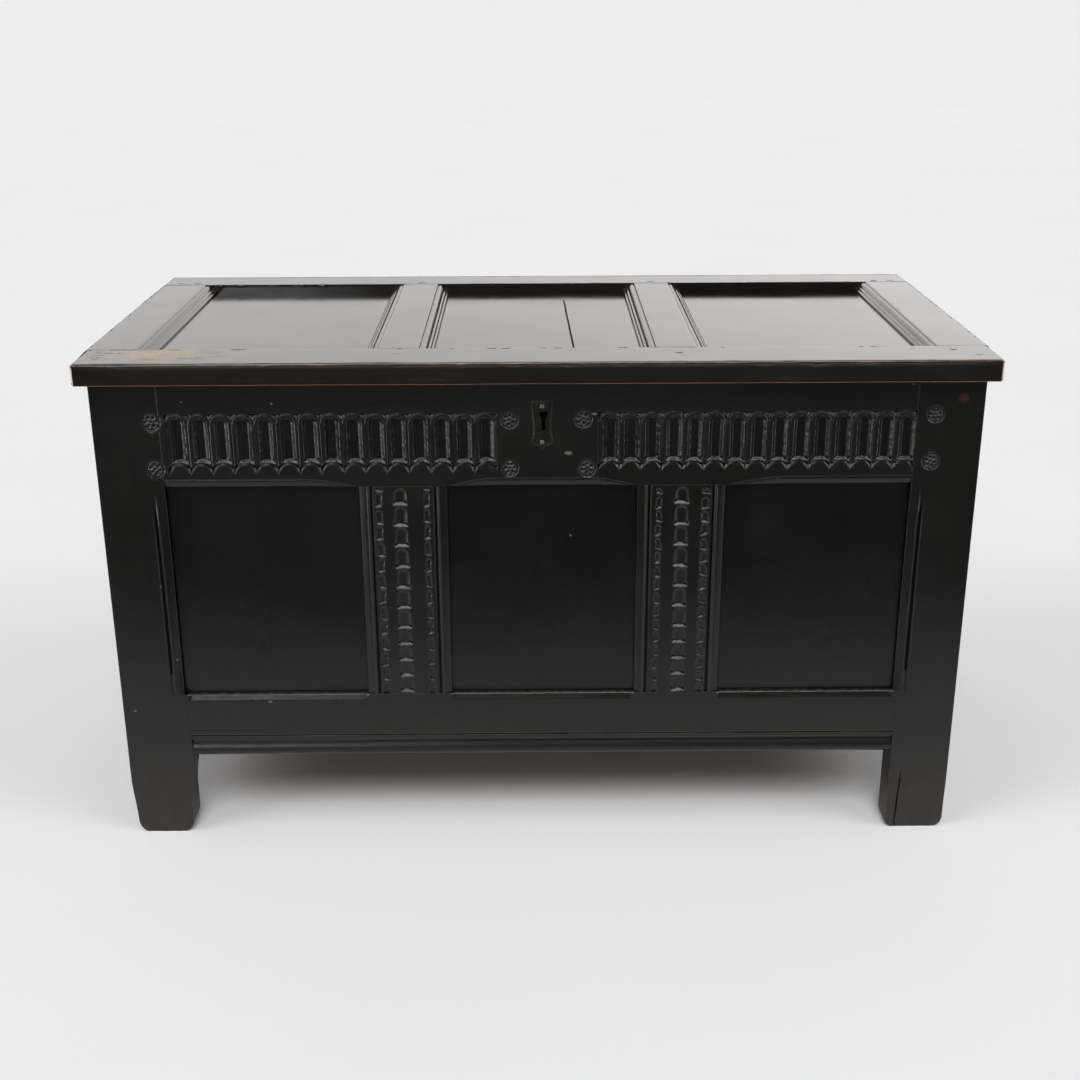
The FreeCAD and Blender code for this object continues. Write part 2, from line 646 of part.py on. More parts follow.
def make_stile(label, side, face, side_face, top_rail, holes):
    """A corner stile: one of the chest's legs, mortised for two rails on each of two sides."""
    body = new_body(label)
    outer = f"{side} * places.side_face"
    inner = f"{side} * places.stile_edge"
    rounded_outer = f"{side} * (places.side_face - sizes.foot_round)"
    rounded_inner = f"{side} * (places.stile_edge + sizes.foot_round)"
    top = "sizes.body_height"
    outline = [(inner, top), (inner, "sizes.foot_round", "x", rounded_inner, (-side, -1)),
               (rounded_inner, "0"), (rounded_outer, "0", "x", rounded_outer, (side, -1)),
               (outer, "sizes.foot_round"), (outer, top)]
    face.pad(body, "0", "sizes.stile_depth", outline)

    far = f"{side} * (places.stile_edge + sizes.rail_tenon + {SPARE})"
    rails = [(top_rail, "sizes.body_height", True),
             (bottom_low(face), "places.sill", False)]
    cut_mortises(face, body, *[rail_mortise(inner, far, *rail) for rail in rails])
    groove = f"{side} * (places.stile_edge + sizes.groove_deep)"
    cut_grooves(face, body, (inner, groove, "places.sill - sizes.groove_deep",
                             f"{top_rail} + sizes.groove_deep"))

    corner = "places.front_corner" if face is FRONT else "places.back_corner"
    into = -face.inward
    side_far = f"{corner} + {into} * (sizes.side_tenon + {SPARE})"
    side_rails = [("places.plain_head", "sizes.body_height", True),
                  ("sizes.leg_height", "places.sill", False)]
    cut_mortises(side_face, body, *[rail_mortise(corner, side_far, *rail) for rail in side_rails])
    side_groove = f"{corner} + {into} * sizes.groove_deep"
    cut_grooves(side_face, body, (corner, side_groove, "places.sill - sizes.groove_deep",
                                  "places.plain_head + sizes.groove_deep"))
    if face is FRONT:
        waste = quarter_round(inner, side, "places.front_face", 1)
        pocket(body, "z", "places.sill", "places.head", waste)
    drill(body, *holes)


def bottom_low(face):
    """The bottom boards pass under the back's bottom rail; the others reach the legs' tops."""
    return "places.board_top" if face is BACK else "sizes.leg_height"


# ---------------------------------------------------------------- rails, muntins and panels

def make_rail(label, face, ends, low, high, is_top, tenon, openings):
    """A rail with a tenon at each end, and one groove and its mortises on its inner edge."""
    body = new_body(label)
    left, right = ends
    face.pad(body, "0", "sizes.rail_thick", block(left, right, low, high))
    foot, crown = tenon_heights(low, high, is_top)
    add_tenons(face, body, (f"{left} - {tenon}", f"{right} + {tenon}", foot, crown))
    edge = low if is_top else high
    sense = 1 if is_top else -1
    cut_grooves(face, body, (left, right, edge, f"{edge} + {sense} * sizes.groove_deep"))
    deep = f"{edge} + {sense} * (sizes.muntin_tenon + {SPARE})"
    mortises = []
    for centre, width in openings:
        near, far = muntin_tenon_sides(centre, width)
        mortises.append((f"{near} - {PLAY}", f"{far} + {PLAY}", edge, deep))
    cut_mortises(face, body, *mortises)
    return body


def make_muntin(label, face, centre, width, low, high):
    """An upright between two rails, tenoned into both and grooved on both edges."""
    body = new_body(label)
    left = f"{centre} - {width} / 2"
    right = f"{centre} + {width} / 2"
    face.pad(body, "0", "sizes.rail_thick", block(left, right, low, high))
    near, far = muntin_tenon_sides(centre, width)
    add_tenons(face, body, (near, far, f"{low} - sizes.muntin_tenon", f"{high} + sizes.muntin_tenon"))
    cut_grooves(face, body, (left, f"{left} + sizes.groove_deep", low, high),
                (f"{right} - sizes.groove_deep", right, low, high))
    return body


def add_field(body, face, near, far, sides, bevel):
    """A raised field that narrows by a bevel all round from one depth to the next."""
    left, right, low, high = sides
    field = body.newObject("PartDesign::AdditiveWedge", "Field")
    plane = [item for item in body.Origin.OriginFeatures if item.Role == PLANES[face.axis]][0]
    field.AttachmentSupport = [(plane, "")]
    field.MapMode = "FlatFace"
    # The wedge narrows along its own Y axis, which is turned to point into the chest
    sense = face.inward * NORMALS[face.axis]
    field.AttachmentOffset = Placement(Vector(), Rotation(Vector(1, 0, 0), 90 * sense))
    field.setExpression("AttachmentOffset.Base.z", f"{NORMALS[face.axis]} * ({face.at(near)})")
    near_z, far_z = (f"-({high})", f"-({low})") if sense > 0 else (low, high)
    limits = {"Xmin": left, "Xmax": right, "X2min": f"{left} + {bevel}", "X2max": f"{right} - {bevel}",
              "Zmin": near_z, "Zmax": far_z, "Z2min": f"{near_z} + {bevel}", "Z2max": f"{far_z} - {bevel}",
              "Ymin": "0", "Ymax": f"({far}) - ({near})"}
    for limit, expression in limits.items():
        field.setExpression(limit, expression)


def make_panel(label, face, left, right, low, high, setback="sizes.panel_setback"):
    """A riven panel: a flat face, and a long bevel behind that feathers its edges for the groove."""
    body = new_body(label)
    reach = "(sizes.groove_deep - sizes.panel_play)"
    near = f"{setback} + (sizes.groove_width - sizes.panel_edge) / 2"
    shoulder = f"{near} + sizes.panel_edge"
    face.pad(body, near, shoulder,
             block(f"{left} - {reach}", f"{right} + {reach}", f"{low} - {reach}", f"{high} + {reach}"))
    add_field(body, face, shoulder, f"{near} + sizes.panel_thick", (left, right, low, high),
              "sizes.panel_bevel")
    return body


# ---------------------------------------------------------------- peg spots

def rail_peg_spots(edge_left, edge_right, inset, heights):
    """Pegs beside both ends of a rail."""
    spots = []
    for height in heights:
        spots.append((f"{edge_left} - {inset}", height))
        spots.append((f"{edge_right} + {inset}", height))
    return spots


FRONT_MUNTINS = [f"(sizes.muntin_shift + {sense} * sizes.muntin_spread / 2)" for sense in (-1, 1)]
BACK_MUNTINS = [f"({sense} * sizes.muntin_spread / 2)" for sense in (-1, 1)]
FRONT_WIDTH = "sizes.muntin_width"
PLAIN_WIDTH = "sizes.plain_muntin_width"

top_peg_rows = ["sizes.body_height - sizes.front_peg_first", "sizes.body_height - sizes.front_peg_second"]
plain_top_peg_rows = ["sizes.body_height - sizes.plain_peg_first", "places.plain_head + sizes.rail_peg_inset"]
low_peg_rows = ["sizes.leg_height + sizes.rail_peg_inset", "places.sill - sizes.rail_peg_inset"]
back_low_peg_rows = ["(places.board_top + places.sill) / 2"]


def muntin_peg_spots(centres, low, high):
    spots = []
    for centre in centres:
        spots.append((centre, f"{low} - sizes.muntin_peg_inset"))
        spots.append((centre, f"{high} + sizes.muntin_peg_inset"))
    return spots


edges = ("-places.stile_edge", "places.stile_edge")
corners = ("places.front_corner", "places.back_corner")
front_spots = (rail_peg_spots(*edges, "sizes.peg_inset", top_peg_rows + low_peg_rows)
               + muntin_peg_spots(FRONT_MUNTINS, "places.sill", "places.head"))
back_spots = (rail_peg_spots(*edges, "sizes.peg_inset", plain_top_peg_rows + back_low_peg_rows)
              + muntin_peg_spots(BACK_MUNTINS, "places.sill", "places.plain_head"))
side_spots = (rail_peg_spots(*corners, "sizes.side_peg_inset", plain_top_peg_rows + low_peg_rows)
              + muntin_peg_spots(["places.side_middle"], "places.sill", "places.plain_head"))

front_holes = make_pegs("front_pegs", [(FRONT, front_spots)], "sizes.peg_length")
back_holes = make_pegs("back_pegs", [(BACK, back_spots)], "sizes.peg_length")
side_holes = make_pegs("side_pegs", [(LEFT, side_spots), (RIGHT, side_spots)], "sizes.peg_length")


# ---------------------------------------------------------------- nails

hinge_nails = Nails("hinge_nails", "sizes.nail_length", "sizes.nail_head", "sizes.nail_head_tall")
strap_nails = Nails("strap_nails", "sizes.nail_length", "sizes.nail_head", "sizes.nail_head_tall")
board_nails = Nails("board_nails", "sizes.nail_length + sizes.board_thick", "sizes.nail_head",
                    "sizes.nail_head_tall")
lock_nails = Nails("lock_nails", "sizes.small_nail_length", "sizes.small_head",
                   "sizes.small_head_tall")

HINGES = {"left": "-places.hinge_x", "right": "places.hinge_x"}
SHIFT = "sizes.hinge_nail_shift"
leaf_nail_holes, strap_nail_holes = {}, {}
for hand, hinge_x in HINGES.items():
    leaf_spots = [(f"{hinge_x} - {SHIFT}", "places.hinge_z - sizes.leaf_nail_first"),
                  (f"{hinge_x} + {SHIFT}",
                   "places.hinge_z - sizes.leaf_nail_first - sizes.leaf_nail_step"),
                  (hinge_x, "places.leaf_tip + sizes.leaf_nail_tip")]
    leaf_nail_holes[hand] = hinge_nails.drive(f"{hand}_leaf_nail_holes", "y", -1, "places.back_face",
                                              leaf_spots)
    strap_spots = [(f"{hinge_x} + {side} * {SHIFT}",
                    f"places.hinge_y - sizes.strap_nail_first - {index} * sizes.strap_nail_step")
                   for index, side in enumerate((-1, 1, -1))]
    strap_spots.append((hinge_x, "places.strap_tip + sizes.strap_nail_tip"))
    strap_nail_holes[hand] = strap_nails.drive(f"{hand}_strap_nail_holes", "z", 1,
                                               "sizes.body_height - sizes.strap_thick", strap_spots)

board_count = int(number("sizes.board_count"))
board_edges = [f"({index} * places.board_step - places.board_side)" for index in range(board_count + 1)]
# At the back the outer two boards reach only to the stiles
nailed_edges = ["-places.stile_edge"] + board_edges[1:-1] + ["places.stile_edge"]
board_nail_spots = []
for left, right in zip(nailed_edges, nailed_edges[1:]):
    for spot in (f"{left} + sizes.board_nail_inset", f"{right} - sizes.board_nail_inset"):
        board_nail_spots.append((spot, "places.back_face - sizes.rail_thick / 2"))
board_nail_holes = board_nails.drive("board_nail_holes", "z", 1, "places.board_low", board_nail_spots)

plate_nail_spots = [(f"sizes.lock_centre + {side} * (sizes.plate_half_wide - sizes.plate_nail_inset)", height)
                    for side in (-1, 1) for height in ("places.plate_low + sizes.plate_nail_inset",
                                                       "places.plate_high - sizes.plate_nail_inset")]
plate_nail_holes = lock_nails.drive("plate_nail_holes", "y", -1, "places.plate_y + sizes.plate_thick",
                                    plate_nail_spots)
escutcheon_nail_spots = [("sizes.lock_centre", "places.escutcheon_high - sizes.escutcheon_nail_inset"),
                         ("sizes.lock_centre", "places.escutcheon_low + sizes.escutcheon_nail_inset")]
escutcheon_nail_holes = lock_nails.drive("escutcheon_nail_holes", "y", 1,
                                         "places.front_face - sizes.escutcheon_thick",
                                         escutcheon_nail_spots)


# ---------------------------------------------------------------- the body's frame

make_stile("front_left_stile", -1, FRONT, LEFT, "places.head", [front_holes, side_holes])
make_stile("front_right_stile", 1, FRONT, RIGHT, "places.head", [front_holes, side_holes])
make_stile("back_left_stile", -1, BACK, LEFT, "places.plain_head", [back_holes, side_holes])
make_stile("back_right_stile", 1, BACK, RIGHT, "places.plain_head", [back_holes, side_holes])


def front_openings():
    """Left and right edges of the three openings of the front."""
    left_muntin, right_muntin = FRONT_MUNTINS
    half = "sizes.muntin_width / 2"
    return [("-places.stile_edge", f"{left_muntin} - {half}"),
            (f"{left_muntin} + {half}", f"{right_muntin} - {half}"),
            (f"{right_muntin} + {half}", "places.stile_edge")]


def keyhole(grow):
    """A round head over a straight slot, cut larger by a margin."""
    left = f"places.key_x - sizes.key_slot - {grow}"
    right = f"places.key_x + sizes.key_slot + {grow}"
    low = f"places.key_low - {grow}"
    neck = "places.key_centre - sqrt(sizes.key_radius ^ 2 - sizes.key_slot ^ 2)"
    return [(left, low), (right, low), (right, neck, "y", "places.key_centre", (0, 1)), (left, neck)]


def make_front_top_rail():
    """The frieze: thirty flutes, a moulding over each panel, the keyhole and the lock's recess."""
    body = make_rail("front_top_rail", FRONT, edges, "places.head", "sizes.body_height", True,
                     "sizes.rail_tenon", [(centre, FRONT_WIDTH) for centre in FRONT_MUNTINS])
    for left, right in front_openings():
        pocket(body, "x", left, right, head_moulding())
    middle = "sizes.lock_centre"
    recess_floor = "sizes.rail_thick - sizes.recess_deep"
    inside = f"sizes.rail_thick + {PAST}"
    FRONT.pocket(body, recess_floor, inside,
                 block(f"{middle} - places.recess_half_wide", f"{middle} + places.recess_half_wide",
                       "places.recess_low", "places.recess_high"))
    slot = "(sizes.staple_thick / 2 + sizes.staple_slot_play)"
    FRONT.pocket(body, recess_floor, inside,
                 block(f"{middle} - {slot}", f"{middle} + {slot}", f"places.recess_high - {PAST}",
                       f"sizes.body_height + {PAST}"))
    FRONT.pocket(body, f"-{PAST}", f"{recess_floor} + {PAST}", keyhole("sizes.key_margin"))
    for first, pitch in (("places.left_flute", "places.left_flute_pitch"),
                         ("sizes.right_flute_inner", "places.right_flute_pitch")):
        flute = FRONT.pocket(body, "0", "sizes.flute_deep",
                             arched_hollow(first, "sizes.flute_wide", "places.flute_low",
                                           "places.flute_high", "sizes.flute_foot_rise"))
        repeat(body, flute, "H_Axis", pitch, "sizes.flute_count")
    drill(body, front_holes, plate_nail_holes, escutcheon_nail_holes)


def head_moulding():
    """Waste of the edge moulding over a front panel, in the YZ plane."""
    edge = "places.head"
    face = "places.front_face"
    wide = f"{edge} + sizes.ovolo_wide"
    toe = f"{edge} + sizes.ovolo_wide - sizes.ovolo_radius"
    quirk = f"{face} + sizes.ovolo_deep - sizes.ovolo_radius"
    floor = f"{face} + sizes.ovolo_deep"
    before = f"{face} - {PAST}"
    below = f"{edge} - {PAST}"
    return [(before, below), (before, wide), (quirk, wide, "y", wide, (-1, -1)), (floor, toe),
            (floor, below)]


def arched_hollow(centre, wide, low, high, rise):
    """A hollow whose crown is cut with three strokes, as half a hexagon, and whose foot with two."""
    left = f"{centre} - {wide} / 2"
    right = f"{centre} + {wide} / 2"
    spring = f"{high} - sqrt(3) / 4 * {wide}"
    return [(left, low), (centre, f"{low} + {rise}"), (right, low), (right, spring),
            (f"{centre} + {wide} / 4", high), (f"{centre} - {wide} / 4", high), (left, spring)]


def make_front_bottom_rail():
    """The sill of the front: chamfered under each panel, moulded along its foot and grooved
    inside for the bottom boards."""
    body = make_rail("front_bottom_rail", FRONT, edges, "sizes.leg_height", "places.sill", False,
                     "sizes.rail_tenon", [(centre, FRONT_WIDTH) for centre in FRONT_MUNTINS])
    face = "places.front_face"
    before = f"{face} - {PAST}"
    chamfer_low = "places.sill - sizes.sill_chamfer_tall"
    chamfer_back = f"{face} + sizes.sill_chamfer_deep"
    chamfer = [(before, f"places.sill + {PAST}"), (before, chamfer_low), (face, chamfer_low),
               (chamfer_back, "places.sill"), (chamfer_back, f"places.sill + {PAST}")]
    for left, right in front_openings():
        pocket(body, "x", left, right, chamfer)
    sunk = f"{face} + sizes.base_mould_sink"
    bead = f"{face} + sizes.base_bead_sink"
    top = "sizes.leg_height + sizes.base_mould_tall"
    roll_low = "sizes.leg_height + sizes.base_roll_low"
    roll_high = f"{roll_low} + sizes.base_roll_tall"
    bead_top = "sizes.leg_height + sizes.base_bead_tall"
    below = f"sizes.leg_height - {PAST}"
    base = [(before, below), (bead, below), (bead, bead_top),
            (sunk, bead_top), (sunk, roll_low, "x", f"{face} + sizes.base_roll_depth", (-1, 0)),
            (sunk, roll_high), (sunk, top), (before, top)]
    pocket(body, "x", *edges, base)
    cut_board_groove(body, FRONT, edges)
    drill(body, front_holes)


def cut_board_groove(body, face, ends):
    """The groove inside a bottom rail that carries the bottom boards."""
    face.pocket(body, "sizes.rail_thick - sizes.board_groove", f"sizes.rail_thick + {PAST}",
                block(*ends, "places.board_low", "places.board_top + sizes.board_play"))


def make_front_muntin(label, centre):
    """A front muntin: moulded on both edges, with a column of hollows up its middle."""
    body = make_muntin(label, FRONT, centre, FRONT_WIDTH, "places.sill", "places.head")
    half = "sizes.muntin_width / 2"
    pocket(body, "z", "places.sill", "places.head",
           quarter_round(f"{centre} - {half}", 1, "places.front_face", 1),
           quarter_round(f"{centre} + {half}", -1, "places.front_face", 1))
    low = "places.sill + sizes.hollow_start"
    hollow = FRONT.pocket(body, "0", "sizes.hollow_deep",
                          arched_hollow(centre, "sizes.hollow_wide", low, f"{low} + sizes.hollow_tall",
                                        "sizes.hollow_foot_rise"))
    repeat(body, hollow, "V_Axis", "sizes.hollow_pitch", "sizes.hollow_count")
    drill(body, front_holes)


make_front_top_rail()
make_front_bottom_rail()
make_front_muntin("front_left_muntin", FRONT_MUNTINS[0])
make_front_muntin("front_right_muntin", FRONT_MUNTINS[1])
for name, (left, right) in zip(("left", "middle", "right"), front_openings()):
    make_panel(f"front_{name}_panel", FRONT, left, right, "places.sill", "places.head")


def make_back():
    """The plain back: two rails, two muntins and three panels."""
    openings = [(centre, PLAIN_WIDTH) for centre in BACK_MUNTINS]
    top = make_rail("back_top_rail", BACK, edges, "places.plain_head", "sizes.body_height", True,
                    "sizes.rail_tenon", openings)
    half = "(sizes.strap_wide / 2 + sizes.strap_let_in)"
    head_room = "(sizes.strap_wide / 2 + sizes.pin_head_long + sizes.pin_end_play)"
    barrel_low = "places.hinge_z - sizes.knuckle_radius - sizes.knuckle_gap"
    above = f"sizes.body_height + {PAST}"
    for hinge_x in HINGES.values():
        # The strap crosses the rail's top, the leaf is let into its back, and the knuckles have
        # a wider notch in the corner between them
        BACK.pocket(top, f"-{PAST}", f"sizes.rail_thick + {PAST}",
                    block(f"{hinge_x} - {half}", f"{hinge_x} + {half}",
                          "sizes.body_height - sizes.strap_thick - sizes.strap_let_in", above))
        BACK.pocket(top, f"-{PAST}", "sizes.strap_thick",
                    block(f"{hinge_x} - {half}", f"{hinge_x} + {half}",
                          "places.leaf_tip - sizes.strap_let_in", above))
        BACK.pocket(top, f"-{PAST}", "sizes.strap_thick + sizes.knuckle_gap",
                    block(f"{hinge_x} - {head_room}", f"{hinge_x} + {head_room}", barrel_low, above))
    drill(top, back_holes, *leaf_nail_holes.values())
    bottom = make_rail("back_bottom_rail", BACK, edges, "places.board_top", "places.sill", False,
                       "sizes.rail_tenon", openings)
    drill(bottom, back_holes, board_nail_holes)
    for name, centre in zip(("left", "right"), BACK_MUNTINS):
        muntin = make_muntin(f"back_{name}_muntin", BACK, centre, PLAIN_WIDTH, "places.sill",
                             "places.plain_head")
        drill(muntin, back_holes)
    half = "sizes.plain_muntin_width / 2"
    bounds = ["-places.stile_edge", f"{BACK_MUNTINS[0]} - {half}", f"{BACK_MUNTINS[0]} + {half}",
              f"{BACK_MUNTINS[1]} - {half}", f"{BACK_MUNTINS[1]} + {half}", "places.stile_edge"]
    for index, name in enumerate(("left", "middle", "right")):
        make_panel(f"back_{name}_panel", BACK, bounds[2 * index], bounds[2 * index + 1], "places.sill",
                   "places.plain_head")


def make_side(name, face):
    """One end of the chest: two rails, a muntin and two panels."""
    middle = "places.side_middle"
    openings = [(middle, PLAIN_WIDTH)]
    top = make_rail(f"{name}_top_rail", face, corners, "places.plain_head", "sizes.body_height", True,
                    "sizes.side_tenon", openings)
    drill(top, side_holes)
    bottom = make_rail(f"{name}_bottom_rail", face, corners, "sizes.leg_height", "places.sill", False,
                       "sizes.side_tenon", openings)
    cut_board_groove(bottom, face, corners)
    drill(bottom, side_holes)
    muntin = make_muntin(f"{name}_muntin", face, middle, PLAIN_WIDTH, "places.sill", "places.plain_head")
    drill(muntin, side_holes)
    half = "sizes.plain_muntin_width / 2"
    make_panel(f"{name}_front_panel", face, corners[0], f"{middle} - {half}", "places.sill",
               "places.plain_head")
    make_panel(f"{name}_back_panel", face, f"{middle} + {half}", corners[1], "places.sill",
               "places.plain_head")


make_back()
make_side("left", LEFT)
make_side("right", RIGHT)


# ---------------------------------------------------------------- bottom boards

def make_boards():
    """Boards that run front to back: their front ends lie in the sill's groove, their back ends
    are nailed up to the back rail, and the outer two are notched round the stiles."""
    gap = "sizes.board_gap"
    front = "places.board_end"
    back = f"places.back_face - {gap}"
    for index in range(board_count):
        body = new_body(f"bottom_board_{index + 1}")
        left = f"{board_edges[index]} + {gap} / 2"
        right = f"{board_edges[index + 1]} - {gap} / 2"
        outline = block(left, right, front, back)
        if index in (0, board_count - 1):
            side, near, far = (-1, right, board_edges[0]) if index == 0 else (1, left, board_edges[-1])
            stile = f"{side} * (places.stile_edge - {gap})"
            outline = [(near, front), (stile, front), (stile, f"places.front_corner + {gap}"),
                       (far, f"places.front_corner + {gap}"), (far, f"places.back_corner - {gap}"),
                       (stile, f"places.back_corner - {gap}"), (stile, back), (near, back)]
        pad(body, "z", "places.board_low", "places.board_top", outline)
        drill(body, board_nail_holes)


make_boards()
board_nails.finish()


# ---------------------------------------------------------------- the lid

LID_NEAR = "sizes.lid_panel_setback"
LID_FAR = "sizes.lid_panel_setback + sizes.groove_width"
LID_MUNTINS = [f"({sense} * sizes.lid_muntin_spread / 2)" for sense in (-1, 1)]

lid_joints = ("places.lid_front_joint", "places.lid_back_joint")
lid_spots = []
for side in (-1, 1):
    inner = f"{side} * (places.lid_end - sizes.lid_peg_inner)"
    outer = f"{side} * (places.lid_end - sizes.lid_peg_outer)"
    lid_spots += [(inner, "places.lid_front_joint - sizes.lid_peg_near"),
                  (outer, "places.lid_front_joint - sizes.lid_peg_far"),
                  (inner, "places.lid_back_joint + sizes.lid_peg_back"),
                  (outer, "places.lid_back_joint + sizes.lid_peg_back")]
for centre in LID_MUNTINS:
    lid_spots += [(centre, "places.lid_front_joint - sizes.lid_peg_muntin"),
                  (centre, "places.lid_back_joint + sizes.lid_peg_back")]
lid_holes = make_pegs("lid_pegs", [(LID, lid_spots)], "sizes.lid_peg_length")


def lid_tenon_sides():
    """Left and right edges of the four lid tenons."""
    inset = "sizes.lid_tenon_inset"
    sides = [("-places.lid_end + " + inset, f"-places.lid_stile_edge - {inset}"),
             (f"places.lid_stile_edge + {inset}", f"places.lid_end - {inset}")]
    sides += [(f"{centre} - sizes.lid_muntin / 2 + {inset}", f"{centre} + sizes.lid_muntin / 2 - {inset}")
              for centre in LID_MUNTINS]
    return sides


def make_lid_rail(label, front, back, joint, into, tenon, tools, extra=None):
    """A rail that runs the lid's full width, grooved for the panels and mortised for four tenons."""
    body = new_body(label)
    LID.pad(body, "0", "sizes.lid_thick", block("-places.lid_end", "places.lid_end", front, back))
    LID.pocket(body, LID_NEAR, LID_FAR,
               block("-places.lid_stile_edge - sizes.groove_deep",
                     "places.lid_stile_edge + sizes.groove_deep", joint,
                     f"{joint} + {into} * sizes.groove_deep"))
    far = f"{joint} + {into} * ({tenon} + {SPARE})"
    LID.pocket(body, f"{LID_NEAR} - {PLAY}", f"{LID_FAR} + {PLAY}",
               *[block(f"{left} - {PLAY}", f"{right} + {PLAY}", joint, far)
                 for left, right in lid_tenon_sides()])
    if extra:
        extra(body)
    drill(body, *tools)


def cut_staple_holes(body):
    """Two square holes under the front rail for the staple's legs."""
    half = f"(sizes.staple_thick / 2 + {PLAY})"
    eye = "sizes.staple_eye_wide / 2"
    middle = "sizes.lock_centre"
    legs = []
    for side in (-1, 1):
        near = f"places.staple_y + {side} * ({eye} - {PLAY})"
        far = f"places.staple_y + {side} * ({eye} + sizes.staple_leg + {PLAY})"
        legs.append(block(f"{middle} - {half}", f"{middle} + {half}", near, far))
    pocket(body, "z", f"sizes.body_height - {PAST}", f"sizes.body_height + sizes.staple_root + {PLAY}",
           *legs)


def make_lid_upright(label, left, right, tenon_left, tenon_right, moulded, grooves, tools):
    """A stile or muntin of the lid, between the two rails."""
    body = new_body(label)
    LID.pad(body, "0", "sizes.lid_thick", block(left, right, *lid_joints))
    LID.pad(body, LID_NEAR, LID_FAR,
            block(tenon_left, tenon_right, f"{lid_joints[0]} - sizes.lid_front_tenon",
                  f"{lid_joints[1]} + sizes.lid_back_tenon"))
    LID.pocket(body, LID_NEAR, LID_FAR,
               *[block(edge, f"{edge} + {into} * sizes.groove_deep", *lid_joints)
                 for edge, into in grooves])
    pocket(body, "y", *lid_joints, *[lid_moulding(edge, into) for edge, into in moulded])
    drill(body, *tools)


make_lid_rail("lid_front_rail", "places.lid_front", lid_joints[0], lid_joints[0], -1,
              "sizes.lid_front_tenon", [lid_holes], extra=cut_staple_holes)
make_lid_rail("lid_back_rail", lid_joints[1], "places.lid_back", lid_joints[1], 1,
              "sizes.lid_back_tenon", [lid_holes])
lid_tenons = lid_tenon_sides()
for hand, side in (("left", -1), ("right", 1)):
    inner = f"{side} * places.lid_stile_edge"
    outer = f"{side} * places.lid_end"
    tenon = lid_tenons[0] if side < 0 else lid_tenons[1]
    make_lid_upright(f"lid_{hand}_stile", inner, outer, *tenon, [(inner, side)], [(inner, side)],
                     [lid_holes])
for hand, centre, tenon in zip(("left", "right"), LID_MUNTINS, lid_tenons[2:]):
    sides = [(f"{centre} - sizes.lid_muntin / 2", 1), (f"{centre} + sizes.lid_muntin / 2", -1)]
    make_lid_upright(f"lid_{hand}_muntin", sides[0][0], sides[1][0], *tenon, sides, sides,
                     [lid_holes, strap_nail_holes[hand]])
lid_bounds = ["-places.lid_stile_edge", f"{LID_MUNTINS[0]} - sizes.lid_muntin / 2",
              f"{LID_MUNTINS[0]} + sizes.lid_muntin / 2", f"{LID_MUNTINS[1]} - sizes.lid_muntin / 2",
              f"{LID_MUNTINS[1]} + sizes.lid_muntin / 2", "places.lid_stile_edge"]
for index, name in enumerate(("left", "middle", "right")):
    make_panel(f"lid_{name}_panel", LID, lid_bounds[2 * index], lid_bounds[2 * index + 1], *lid_joints,
               setback="sizes.lid_panel_setback")


# ---------------------------------------------------------------- hinges

def make_strap(hand, hinge_x):
    """The long strap under the lid, with the middle knuckle rolled round the pin."""
    body = new_body(f"{hand}_hinge_strap")
    half = "sizes.strap_wide / 2"
    clear = "(sizes.knuckle_radius + sizes.knuckle_gap)"
    low = "sizes.body_height - sizes.strap_thick"
    root = f"places.hinge_y - {clear}"
    tip = "places.strap_tip"
    taper = "places.strap_tip + sizes.strap_taper"
    outline = [(f"{hinge_x} - {half}", root), (f"{hinge_x} - {half}", taper),
               (f"{hinge_x} - sizes.tip_wide / 2", tip), (f"{hinge_x} + sizes.tip_wide / 2", tip),
               (f"{hinge_x} + {half}", taper), (f"{hinge_x} + {half}", root)]
    pad(body, "z", low, "sizes.body_height", outline)
    middle = "sizes.knuckle_middle / 2"
    sides = (f"{hinge_x} - {middle}", f"{hinge_x} + {middle}")
    pad(body, "z", low, "sizes.body_height", block(*sides, f"{root} - {PAST}", "places.hinge_y"))
    centre = ("places.hinge_y", "places.hinge_z")
    pad(body, "x", *sides, (*centre, "sizes.knuckle_radius"))
    pocket(body, "x", f"{sides[0]} - {PAST}", f"{sides[1]} + {PAST}",
           (*centre, "sizes.pin_radius + sizes.pin_play"))
    drill(body, strap_nail_holes[hand])


def make_leaf(hand, hinge_x):
    """The short leaf let into the back rail, with the two outer knuckles."""
    body = new_body(f"{hand}_hinge_leaf")
    half = "sizes.strap_wide / 2"
    inner = "(sizes.knuckle_middle / 2 + sizes.knuckle_gap)"
    notch = f"places.hinge_z - sizes.knuckle_radius - sizes.knuckle_gap - {PAST}"
    low = "places.leaf_tip"
    taper = f"{low} + sizes.leaf_taper"
    outline = [(f"{hinge_x} - {half}", "places.hinge_z"), (f"{hinge_x} - {half}", taper),
               (f"{hinge_x} - sizes.tip_wide / 2", low), (f"{hinge_x} + sizes.tip_wide / 2", low),
               (f"{hinge_x} + {half}", taper), (f"{hinge_x} + {half}", "places.hinge_z"),
               (f"{hinge_x} + {inner}", "places.hinge_z"), (f"{hinge_x} + {inner}", notch),
               (f"{hinge_x} - {inner}", notch), (f"{hinge_x} - {inner}", "places.hinge_z")]
    BACK.pad(body, "0", "sizes.strap_thick", outline)
    centre = ("places.hinge_y", "places.hinge_z")
    for near, far in ((f"{hinge_x} - {half}", f"{hinge_x} - {inner}"),
                      (f"{hinge_x} + {inner}", f"{hinge_x} + {half}")):
        pad(body, "x", near, far, (*centre, "sizes.knuckle_radius"))
    pocket(body, "x", f"{hinge_x} - {half} - {PAST}", f"{hinge_x} + {half} + {PAST}",
           (*centre, "sizes.pin_radius + sizes.pin_play"))
    drill(body, leaf_nail_holes[hand])


